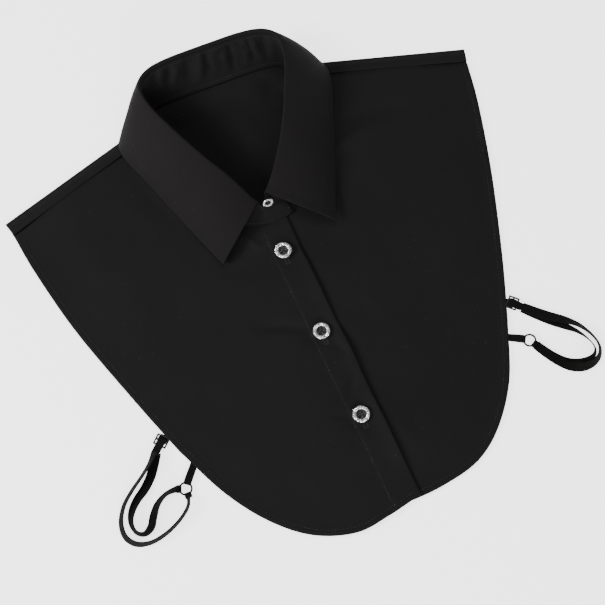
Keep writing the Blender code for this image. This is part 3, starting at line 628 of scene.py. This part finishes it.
def near_neck(x, y, side):
    """Distance from the neck seam of one front, or of the back, and the seam's height there."""
    line = FOOT_LINES[side]
    x = np.abs(x) if side == BACK else x
    distance = np.hypot(np.ravel(x)[:, None] - line[:, 0], np.ravel(y)[:, None] - line[:, 1])
    nearest = np.argmin(distance, axis=1)
    shape = np.shape(x)
    return distance.min(axis=1).reshape(shape), line[nearest, 2].reshape(shape)


def distance_to(line, x, y):
    """Distance from places to a line on the plan."""
    line = np.asarray(line, dtype=float)
    a, run = line[:-1], np.diff(line, axis=0)
    px, py = np.ravel(x)[:, None], np.ravel(y)[:, None]
    t = ((px - a[:, 0]) * run[:, 0] + (py - a[:, 1]) * run[:, 1]) / np.sum(run ** 2, axis=1)
    t = np.clip(t, 0.0, 1.0)
    gap = np.hypot(px - a[:, 0] - t * run[:, 0], py - a[:, 1] - t * run[:, 1])
    return gap.min(axis=1).reshape(np.shape(x))


def soft_noise(x, y, size, seed=0.0):
    """Even soft noise on the plan, from -1 to 1, with features of a size."""
    flat = [noise.noise(Vector((px / size, py / size, seed))) for px, py in zip(np.ravel(x), np.ravel(y))]
    return np.array(flat).reshape(np.shape(x))


def creased(x, y, creases):
    """The height of the creases at places on the plan."""
    height = np.zeros(np.shape(x))
    for x0, y0, x1, y1, width, rise, bow in creases:
        run = math.hypot(x1 - x0, y1 - y0)
        ahead = ((x - x0) * (x1 - x0) + (y - y0) * (y1 - y0)) / run ** 2
        aside = ((y - y0) * (x1 - x0) - (x - x0) * (y1 - y0)) / run
        t = np.clip(ahead, 0.0, 1.0)
        beyond = (ahead - t) * run
        distance = np.hypot(aside - bow * 4.0 * t * (1.0 - t), beyond)
        height += rise * np.exp(-(distance / width) ** 2) * (0.35 + 0.65 * np.sin(math.pi * t))
    return height


def outline(side, hem):
    """A front's outer edge: down its side and round its hem to the placket."""
    lower = [(side * x, y) for x, y in hem]
    return np.vstack([smooth_line(side_line(side), np.linspace(0.0, 1.0, 120)),
                      smooth_line(lower, np.linspace(0.0, 1.0, 160))[1:]])


OUTLINES = {-1: outline(-1, RIGHT_HEM), 1: outline(1, LEFT_HEM)}
garment_edge = np.vstack([OUTLINES[-1][:-1], OUTLINES[1][:-1][::-1]])


def drape(x, y):
    """How far the fronts' cloth lies off its flat place: loft, noise and creases, held at edges and buttons."""
    edge = distance_to(garment_edge, x, y)
    neck = np.minimum(near_neck(x, y, -1)[0], near_neck(x, y, 1)[0])
    free = smoothstep(neck, 10.0, 52.0)
    rise = (1.5 * smoothstep(edge, 5.0, 48.0) + 0.55 * soft_noise(x, y, 46.0) * smoothstep(edge, 4.0, 30.0)
            + 0.16 * soft_noise(x, y, 13.0, 4.0) * smoothstep(edge, 4.0, 12.0)) * free
    rise = rise + creased(x, y, CREASES) * smoothstep(edge, 3.0, 16.0) * smoothstep(neck, 2.0, 8.0)
    for bx, by in BUTTON_PLACES:
        rise = rise * (1.0 - np.exp(-(np.hypot(x - bx, y - by) / 13.0) ** 4))
    low = -0.12
    return 0.5 * (rise + low + np.sqrt((rise - low) ** 2 + 0.06)) - 0.12


def centre_line(y):
    """Where the fronts' centre line lies, which drifts a little to +X on its way to the hem."""
    return PLACKET_LEAN * (TOP_BUTTON_Y - BUTTON_PITCH - y)


def front_height(x, y, side):
    """Middle of a front's wall before any drape.  The right front, side -1, rises over the left at its lap."""
    over = 1.0 - smoothstep(centre_line(y) - x, LAP + 4.0, LAP + 60.0) if side < 0 else 0.0
    base = FRONT_Z + LAYER * over
    distance, seam = near_neck(x, y, side)
    close = 1.0 - smoothstep(distance, 2.0, NECK_RISE)
    return base + (np.maximum(seam + 0.1, base) - base) * close


def beside(line, distance, centre=NECK_CENTRE[:2]):
    """A plan line moved sideways, away from a centre if distance is positive."""
    run = np.gradient(line, axis=0)
    out = np.column_stack([run[:, 1], -run[:, 0]]) / np.linalg.norm(run, axis=1)[:, None]
    facing = np.sign(np.sum(out * (line - centre), axis=1))
    return line + out * (facing * distance)[:, None]


def front_plan(side, hem):
    """The plan of a front: a grid with close lines along its hems and its placket."""
    seam_start, seam_end = shoulder_line(FORWARD_SEAM, side)
    seam = [seam_start + (seam_end - seam_start) * t - (0.0, 2.0 * GAP) for t in np.linspace(0.0, 1.0, 40)]
    places = np.linspace(1.05 if side < 0 else 1.074, SHOULDER_PLACE + 0.085, 60)
    top = np.vstack([beside(np.array([foot(place, side)[:2] for place in places]), NECK_TUCK), seam])
    bottom = smooth_line([(side * x, y) for x, y in hem][::-1], np.linspace(0.0, 1.0, len(top)))
    down = np.linspace(0.0, 1.0, 90)
    placket = top[0] + (bottom[0] - top[0]) * down[:, None]
    if side < 0:
        placket[:, 0] += PLACKET_SWAY * np.array([noise.noise(Vector((5.2 * t, 0.0, 7.0))) for t in down]) * (
            smoothstep(down, 0.05, 0.2) * (1.0 - smoothstep(down, 0.85, 0.98)))
    grid = patch(top, bottom, placket, smooth_line(side_line(side), down))

    def spaced(line, first, last, count):
        length = lengths_along(line)[-1]
        middle = np.linspace(first[-1], length - last[-1], count)[1:-1]
        return read_along(line, np.concatenate([first, middle, length - last[::-1]]))

    grid = np.stack([spaced(column, SEAM_LINES, HEM_LINES, 110) for column in grid.swapaxes(0, 1)], axis=1)
    rows = [spaced(row, PLACKET_LINES, HEM_LINES, 74) for row in grid]
    return np.array(rows), (placket[0], placket[-1])


def hem_relief(outer):
    """The turned hem: twice as thick, rounded at the edge, and drawn in along its stitches."""
    return (0.32 * (1.0 - smoothstep(outer, 4.5, 5.8)) - 0.30 * (1.0 - smoothstep(outer, 0.0, 1.1))
            - 0.26 * np.exp(-((outer - HEM_STITCH) / 0.55) ** 2))


def front_surface(x, y, side, placket):
    """Height of the middle of a front's wall, drape, hems and placket included."""
    outer = distance_to(OUTLINES[side], x, y)
    z = front_height(x, y, side) + drape(x, y) + hem_relief(outer)
    z = z + 0.10 * soft_noise(x, y, 3.2, 9.0) * np.exp(-((outer - HEM_STITCH) / 2.2) ** 2)
    seam_start, seam_end = shoulder_line(FORWARD_SEAM, side)
    seam = distance_to([seam_start - (0.0, 2.0 * GAP), seam_end - (0.0, 2.0 * GAP)], x, y)
    z = z - 0.8 * (1.0 - smoothstep(seam, 0.4, 2.6)) * smoothstep(near_neck(x, y, BACK)[0], 2.0, 10.0)
    if side > 0:
        return z
    (x0, y0), (x1, y1) = placket
    run = math.hypot(x1 - x0, y1 - y0)
    inside = np.abs((x - x0) * (y1 - y0) - (y - y0) * (x1 - x0)) / run
    along = ((x - x0) * (x1 - x0) + (y - y0) * (y1 - y0)) / run
    z = z + 0.30 * (1.0 - smoothstep(inside, 21.6, 23.0)) - 0.30 * np.exp(-((inside - PLACKET_STITCH) / 0.6) ** 2)
    z = z - 0.20 * (1.0 - smoothstep(inside, 0.0, 1.0))
    wave = 0.45 + 0.75 * soft_noise(along, 0.0 * along, 34.0, 2.0)
    lift = np.exp(-(inside / 6.5) ** 2) * smoothstep(along, 12.0, 50.0) * (1.0 - smoothstep(along, run - 30.0, run))
    seam_noise = 0.08 * soft_noise(x, y, 3.5, 5.0) * np.exp(-((inside - PLACKET_STITCH) / 2.5) ** 2)
    return z + 2.2 * wave * lift + seam_noise


def on_front(line, side, placket):
    """A plan line laid on a front's upper face, with the direction up."""
    x, y = line[:, 0], line[:, 1]
    z = front_surface(x, y, side, placket) + 0.5 * FRONT_WALL
    return np.column_stack([x, y, z]), np.tile((0.0, 0.0, 1.0), (len(line), 1))


BUTTONED_CENTRE = np.array((0.0, -40.0))
fronts, front_seams = {}, {}
for name, side, hem in (("front_right", -1, RIGHT_HEM), ("front_left", 1, LEFT_HEM)):
    plan, placket = front_plan(side, hem)
    points = np.dstack([plan, front_surface(plan[..., 0], plan[..., 1], side, placket)])
    fronts[name] = woven(name, points, FRONT_WALL, cotton, "cotton", name)
    rows = [on_front(beside(OUTLINES[side][3:-2], -HEM_STITCH, BUTTONED_CENTRE), side, placket)]
    if side < 0:
        right_placket = start, end = placket
        aside = unit(np.array((end[1] - start[1], start[0] - end[0])))
        aside = aside if aside[0] < 0.0 else -aside
        down = start + (end - start) * np.linspace(0.05, 0.985, 200)[:, None]
        rows.append(on_front(down + aside * PLACKET_STITCH, side, placket))
    front_seams[name] = sew(name + "_stitches", rows)

# Buttonholes: an upright slit behind each button, its lips bound with close stitches that show below it.
buttonhole_silk, silk_tree, silk_shader = plain_material("buttonhole_silk", (0.016, 0.016, 0.017), 0.55, 0.0, 0.3)
silk_ply = add_node_noise(silk_tree, 1900.0)
tone(silk_tree, silk_shader, silk_ply.outputs["Fac"], (0.006, 0.006, 0.006), (0.026, 0.026, 0.027))
hole_lines = []
for bx, by in BUTTON_PLACES:
    for aside in (-1.15, 1.15):
        for y in np.arange(by - 10.4, by + 7.0, 0.5):
            ends = np.array(((bx + aside - 0.95, y), (bx + aside + 0.95, y + 0.12 * math.sin(7.0 * y))))
            hole_lines.append(on_front(ends, -1, right_placket))
    for y in (by - 10.9, by - 10.5):
        hole_lines.append(on_front(np.array(((bx - 1.9, y), (bx + 1.9, y))), -1, right_placket))
buttonholes = sew("buttonholes", hole_lines, pitch=1.9, length=1.9, width=0.42, thread=buttonhole_silk)

# The back: one flat piece of poplin under the fronts, folded forward over each shoulder, where its turned
# edge is sewn down along the forward seam.
BACK_INSET, BACK_WALL = 3.5, 0.85
BACK_HEM = ((129.0, -94.0), (110.0, -135.0), (88.0, -165.0), (63.0, -182.0), (34.0, -188.0), (0.0, -189.0))
BACK_CREASES = (
    (-30.0, 160.0, -6.0, 96.0, 8.0, 0.9, 4.0), (4.0, 152.0, 30.0, 104.0, 9.0, 0.8, -5.0),
    (36.0, 160.0, 50.0, 128.0, 8.0, -2.4, 2.0), (-52.0, 150.0, -44.0, 118.0, 7.0, -2.0, -2.0),
    (-40.0, 158.0, -34.0, 150.0, 2.5, 0.9, 0.0),
    (12.0, 128.0, -8.0, 76.0, 9.0, 0.5, 3.0),
)


def back_height(x, y):
    """Middle of the back's wall: on the floor, and up to just under the stand at the neck."""
    distance, seam = near_neck(x, y, BACK)
    close = 1.0 - smoothstep(distance, 2.0, NECK_RISE)
    open_neck = smoothstep(y, 70.0, 100.0) * (1.0 - smoothstep(np.abs(x), 40.0, 56.0))
    level = BACK_Z + (seam - LAYER - 0.1 - BACK_Z) * close
    lifted = creased(x, y, BACK_CREASES) * open_neck * smoothstep(distance, 1.5, 8.0) + 0.3 * open_neck
    return np.maximum(level + lifted, BACK_Z)


def back_points():
    """The back's middle: strips from the forward seams, round the shoulder folds, then down to the hem."""
    shoulder, strip_rows, fold_rows = 70, 10, 10
    down = np.concatenate([0.35 * np.linspace(0.0, 1.0, 40) ** 1.3, np.linspace(0.35, 1.0, 50)[1:]])
    halves, edges = {}, {}
    for side in (1, -1):
        fold_neck, fold_tip = shoulder_line(FOLD, side)
        fold = [fold_tip + (fold_neck - fold_tip) * t for t in np.linspace(0.0, 1.0, shoulder)]
        feet = [foot(place, side)[:2] + (0.0, 0.8)
                for place in np.linspace(SHOULDER_PLACE - 0.055, 0.0, 40)]
        halves[side] = np.vstack([fold, feet])
        edges[side] = smooth_line(side_line(side, [tuple(fold_tip)]), down)
        edges[side][:, 0] -= side * BACK_INSET * smoothstep(fold_tip[1] - edges[side][:, 1], 12.0, 50.0)
    top = np.vstack([halves[1], halves[-1][-2::-1]])
    hem = smooth_line(BACK_HEM, np.linspace(0.0, 1.0, len(halves[1])))
    hem[:, 0] -= BACK_INSET * np.linspace(1.0, 0.0, len(hem))
    bottom = np.vstack([hem, hem[-2::-1] * (-1.0, 1.0)])
    plan = patch(top, bottom, edges[1], edges[-1])
    body_rows = np.dstack([plan, back_height(plan[..., 0], plan[..., 1])])
    wrap = np.full((strip_rows + fold_rows, len(top), 3), np.nan)
    for side in (1, -1):
        columns = np.arange(shoulder) if side > 0 else len(top) - 1 - np.arange(shoulder)
        fold_neck, fold_tip = shoulder_line(FOLD, side)
        seam_neck, seam_tip = shoulder_line(FORWARD_SEAM, side)
        run = unit(fold_tip - fold_neck)
        for i, column in enumerate(columns):
            x, y = top[column]
            fraction = i / (shoulder - 1.0)
            low, high = float(back_height(x, y)), float(front_height(x, y, side))
            reach = seam_tip + (seam_neck - seam_tip) * fraction
            for row, step in enumerate(np.linspace(1.0, 0.0, strip_rows, endpoint=False)):
                sx, sy = top[column] + (reach - top[column]) * step
                rise = 1.1 * smoothstep(step, 0.0, 0.5) - 0.35 * smoothstep(step, 0.93, 1.0)
                wrap[row, column] = (sx, sy, float(front_height(sx, sy, side)) + rise)
            for row, turn in enumerate(np.linspace(1.0, 0.0, fold_rows, endpoint=False)):
                out = 0.5 * LAYER * math.sin(math.pi * turn)
                rise = 0.5 * (low + high) - 0.5 * (high - low) * math.cos(math.pi * turn)
                wrap[strip_rows + row, column] = (x - side * run[1] * out, y + side * run[0] * out, rise)
    return np.concatenate([wrap, body_rows])


back = woven("back", back_points(), BACK_WALL, cotton, "cotton", "back")

# The buttons: a cast rim with a crushed, bright silver face round a black centre, with four thread holes.
# They are sewn on with black thread, crossed between the holes.
silver, silver_tree, silver_shader = plain_material("bright_silver", (0.86, 0.86, 0.87), 0.2, 1.0)
grained(silver_tree, silver_shader, 1500.0, 3.0, 0.3, 0.1)
tarnish = add_node_noise(silver_tree, 600.0, 3.0)
tone(silver_tree, silver_shader, tarnish.outputs["Fac"], (0.62, 0.62, 0.64), (0.95, 0.95, 0.95))
jet, jet_tree, jet_shader = plain_material("button_black", (0.018, 0.018, 0.019), 0.28)
grained(jet_tree, jet_shader, 1800.0, 3.0, 0.3, 0.15)


def turned(profile, steps, full=True):
    """A form turned about +Z from a profile of radius and height."""
    form = bmesh.new()
    verts = [form.verts.new((radius * MM, 0.0, height * MM)) for radius, height in profile]
    pairs = zip(verts, verts[1:] + verts[:1]) if full else zip(verts, verts[1:])
    edges = [form.edges.new(pair) for pair in pairs]
    bmesh.ops.spin(form, geom=verts + edges, cent=(0, 0, 0), axis=(0, 0, 1), angle=2.0 * math.pi, steps=steps,
                   use_merge=True)
    bmesh.ops.remove_doubles(form, verts=form.verts, dist=0.000002)
    bmesh.ops.recalc_face_normals(form, faces=form.faces)
    return form


def button(name, centre, facing, diameter, height, seed):
    """One button: its crushed rim, its black centre and its crossed thread."""
    radius = 0.5 * diameter
    turn = Vector(facing).to_track_quat("Z", "Y").to_matrix().to_4x4()
    place = Matrix.Translation(metres(centre)) @ turn
    crest = [(radius * (0.755 + 0.235 * -math.cos(a)), height * (0.42 + 0.55 * math.sin(a)))
             for a in np.linspace(0.0, math.pi, 11)]
    rim = turned([(radius * 0.52, 0.12 * height), *crest, (radius * 0.96, 0.16 * height),
                  (radius * 0.86, 0.02 * height)], 84)
    for vert in rim.verts:
        flat = Vector((vert.co.x, vert.co.y, 0.0))
        if vert.co.z > 0.45 * height * MM:
            angle = math.atan2(flat.y, flat.x)
            twist = math.sin(27.0 * angle + 5.0 * flat.length / (radius * MM) + 1.4 * math.sin(5.0 * angle + seed))
            spot = Vector((vert.co.x, vert.co.y, seed * MM))
            crush, fleck = noise.noise(spot * 1500.0), noise.noise(spot * 4200.0)
            vert.co.z += (0.13 * twist + 0.20 * crush + 0.10 * fleck) * MM
            vert.co += flat.normalized() * (0.07 * crush * MM)
    rim.transform(place)
    piece = add_piece(name, rim, silver, "silver", name)
    for polygon in piece.data.polygons:
        polygon.use_smooth = False
    face = [(radius * 0.40 * t, height * (0.38 + 0.05 * t * t)) for t in np.linspace(0.0, 1.0, 15)]
    centre_form = turned(face + [(radius * 0.50, 0.60 * height), (radius * 0.545, 0.62 * height),
                          (radius * 0.56, 0.40 * height), (radius * 0.56, 0.10 * height), (0.0, 0.10 * height)],
                         48, full=False)
    holes = [Vector((radius * 0.19 * x, radius * 0.19 * y, 0.0)) for x in (-1, 1) for y in (-1, 1)]
    for vert in centre_form.verts:
        for hole in holes:
            reach = (Vector((vert.co.x, vert.co.y, 0.0)) - hole * MM).length
            if vert.co.z > 0.3 * height * MM and reach < radius * 0.13 * MM:
                vert.co.z -= 0.28 * height * MM * (1.0 - (reach / (radius * 0.13 * MM)) ** 4)
    centre_form.transform(place)
    add_piece(name + "_centre", centre_form, jet, "silver")
    thread_form = bmesh.new()
    for strand, (first, last) in enumerate(((0, 3), (1, 2))):
        for offset in (-0.22, 0.05, 0.3):
            start, end = holes[first] * MM, holes[last] * MM
            along = (end - start).normalized()
            aside = Vector((-along.y, along.x, 0.0)) * offset * MM
            lift = Vector((0.0, 0.0, (0.47 + 0.06 * strand) * height * MM))
            shape = (Matrix.Translation((start + end) * 0.5 + aside + lift)
                     @ along.to_track_quat("Z", "Y").to_matrix().to_4x4()
                     @ Matrix.Diagonal((0.16 * MM, 0.16 * MM, (end - start).length * 0.62, 1.0)))
            bmesh.ops.create_uvsphere(thread_form, u_segments=8, v_segments=8, radius=1.0, matrix=shape)
    thread_form.transform(place)
    add_piece(name + "_thread", thread_form, stitch_thread, "cotton")


BUTTON_DIAMETER, BUTTON_HEIGHT = 13.4, 2.6
NECK_BUTTON_DIAMETER, NECK_BUTTON_HEIGHT = 8.6, 1.7
NECK_BUTTON_SEAT, NECK_BUTTON_FACING = (0.2, 56.4, 16.3), (-0.06, -0.97, 0.23)
for number, (x, y) in enumerate(BUTTON_PLACES):
    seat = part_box(f"front_button_{number + 1}")[0].z / MM
    button(f"front_button_{number + 1}", (x, y, seat), (0.0, 0.0, 1.0), BUTTON_DIAMETER, BUTTON_HEIGHT,
           3.0 + 7.0 * number)
button("neck_button", NECK_BUTTON_SEAT, NECK_BUTTON_FACING, NECK_BUTTON_DIAMETER, NECK_BUTTON_HEIGHT, 31.0)

# The straps' fittings: a flat black slider at the edge of each front, a thin wire ring, and the short
# elastic ends that are sewn under the fronts' hems, one through the slider and one round the ring.
enamel, enamel_tree, enamel_shader = plain_material("black_enamel", (0.006, 0.006, 0.006), 0.35, 0.0, 0.35)
grained(enamel_tree, enamel_shader, 700.0, 2.0, 0.25, 0.12)
SLIDERS = {"slider_left": ((139.8, -82.0, 1.9), 46.0), "slider_right": ((-138.0, -82.2, 1.9), -48.0)}
RINGS = {"ring_left": (139.3, -113.2, 1.6), "ring_right": (-134.4, -121.4, 1.6)}
RING_RADIUS, RING_WIRE = 4.4, 0.75
# Where each short end is sewn, the way it runs from there, and what it holds.
ENDS = {
    "sewn_end_left": ((133.6, -78.6), (138.3, -81.3), "slider_left"),
    "sewn_end_right": ((-134.0, -79.3), (-137.9, -82.2), "slider_right"),
    "tab_left": ((118.0, -100.4), (135.1, -110.4), "ring_left"),
    "tab_right": ((-116.4, -99.4), (-131.0, -117.0), "ring_right"),
}
for name, (centre, heading) in SLIDERS.items():
    place = Matrix.Translation(metres(centre)) @ Matrix.Rotation(math.radians(heading), 4, "Z")
    frame_form = bmesh.new()
    for x, y, half_x, half_y in ((-4.45, 0.0, 0.6, 4.2), (4.45, 0.0, 0.6, 4.2), (0.0, -3.6, 5.0, 0.6),
                                 (0.0, 3.6, 5.0, 0.6), (0.0, 0.0, 4.4, 0.62)):
        shape = Matrix.Diagonal((2 * half_x * MM, 2 * half_y * MM, 1.15 * MM, 1.0))
        shape.translation = (x * MM, y * MM, 0.0)
        bmesh.ops.create_cube(frame_form, size=1.0, matrix=shape)
    bmesh.ops.bevel(frame_form, geom=list(frame_form.edges), offset=0.3 * MM, segments=2, profile=0.5,
                    affect="EDGES", material=-1)
    frame_form.transform(place)
    add_piece(name, frame_form, enamel, "black_plastic", name)
for name, centre in RINGS.items():
    wire = [(RING_RADIUS + RING_WIRE * math.cos(a), RING_WIRE * math.sin(a))
            for a in np.linspace(0.0, 2.0 * math.pi, 12, endpoint=False)]
    wire_form = turned(wire, 48)
    wire_form.transform(Matrix.Translation(metres(centre)))
    add_piece(name, wire_form, enamel, "black_plastic", name)


def looped_end(name, start, start_height, head, bar_distance, bar_height, width, *nodes):
    """A short band from a point along a heading, over a bar at a distance, round it and back beneath."""
    head = unit(np.array(head, dtype=float))
    radius = 1.15
    profile = [(0.0, start_height), (0.45 * bar_distance, start_height + 0.3),
               (0.8 * bar_distance, bar_height + radius * 0.8), (bar_distance - 1.6, bar_height + radius * 0.98),
               (bar_distance - 0.6, bar_height + radius)]
    profile += [(bar_distance + radius * math.sin(a), bar_height + radius * math.cos(a))
                for a in np.linspace(0.0, math.pi, 9)]
    low = max(bar_height - radius, 0.52)
    profile += [(bar_distance - 0.6, low), (bar_distance - 1.6, low), (0.6 * bar_distance, low),
                (0.25 * bar_distance, 0.5)]
    line = through(profile, np.linspace(0.0, len(profile) - 1.0, 60))
    middle = np.column_stack([start[0] + head[0] * line[:, 0], start[1] + head[1] * line[:, 0],
                              np.maximum(line[:, 1], 0.5)])
    across = np.tile((head[1], -head[0], 0.0), (len(line), 1))
    return band(name, middle, across, width, *nodes)


for name, (start, towards, target) in ENDS.items():
    start, head = np.array(start), unit(np.array(towards) - start)
    centre = np.array(SLIDERS[target][0] if target in SLIDERS else RINGS[target])
    reach = (centre[:2] - start) @ head - (0.5 if target in SLIDERS else RING_RADIUS)
    looped_end(name, start, 0.7, head, reach, centre[2], 6.6 if target in SLIDERS else 5.4, name)
for name, (target, run_name) in {
        "strap_left_turn": ("ring_left", "strap_left_outer"),
        "strap_right_turn": ("ring_right", "strap_right_outer"),
        "strap_right_pass": ("ring_right", "strap_right_inner"),
        "strap_left_slide": ("slider_left", "strap_left_outer"),
        "strap_right_slide": ("slider_right", "strap_right_outer")}.items():
    at_ring = target in RINGS
    end = strap_middles[run_name][-1 if at_ring else 0]
    centre = np.array(RINGS[target] if at_ring else SLIDERS[target][0])
    head = unit((centre - end)[:2])
    reach = np.linalg.norm((centre - end)[:2]) - (RING_RADIUS if at_ring else 0.5)
    looped_end(name, end[:2] - head * 1.5, 1.6, head, reach + 1.5, centre[2], 5.2 if at_ring else 5.6,
               run_name)

# The surface that the garment lies on, and the soft light of a small studio, a little stronger from the
# garment's right and from beyond its hem.
floor_material, _, floor_shader = plain_material("white_table", (0.9, 0.9, 0.9), 0.7)
floor_shader.inputs["Emission Color"].default_value = (1.0, 1.0, 1.0, 1.0)
floor_shader.inputs["Emission Strength"].default_value = 2.4
floor_mesh = bpy.data.meshes.new("table_top")
floor_form = bmesh.new()
bmesh.ops.create_grid(floor_form, x_segments=1, y_segments=1, size=3.0)
floor_form.to_mesh(floor_mesh)
floor_form.free()
floor_mesh.materials.append(floor_material)
table_top = bpy.data.objects.new("table_top", floor_mesh)
table_top.location.z = -0.0002
bpy.context.collection.objects.link(table_top)

world = bpy.data.worlds.new("studio")
bpy.context.scene.world = world
world.use_nodes = True
world.node_tree.nodes["Background"].inputs["Color"].default_value = (1.0, 1.0, 1.0, 1.0)
world.node_tree.nodes["Background"].inputs["Strength"].default_value = 0.34
for name, place, size, power in (("key", (-1.35, 0.18, 0.80), 0.5, 22.5), ("front", (-0.30, -1.4, 0.55), 0.7, 16.0),
                                 ("top", (0.2, 0.7, 1.5), 0.8, 6.0)):
    lamp_data = bpy.data.lights.new(name, "AREA")
    lamp_data.size = size
    lamp_data.energy = power
    lamp = bpy.data.objects.new(name, lamp_data)
    bpy.context.collection.objects.link(lamp)
    lamp.location = place
    lamp.rotation_euler = Vector(place).to_track_quat("Z", "Y").to_euler()
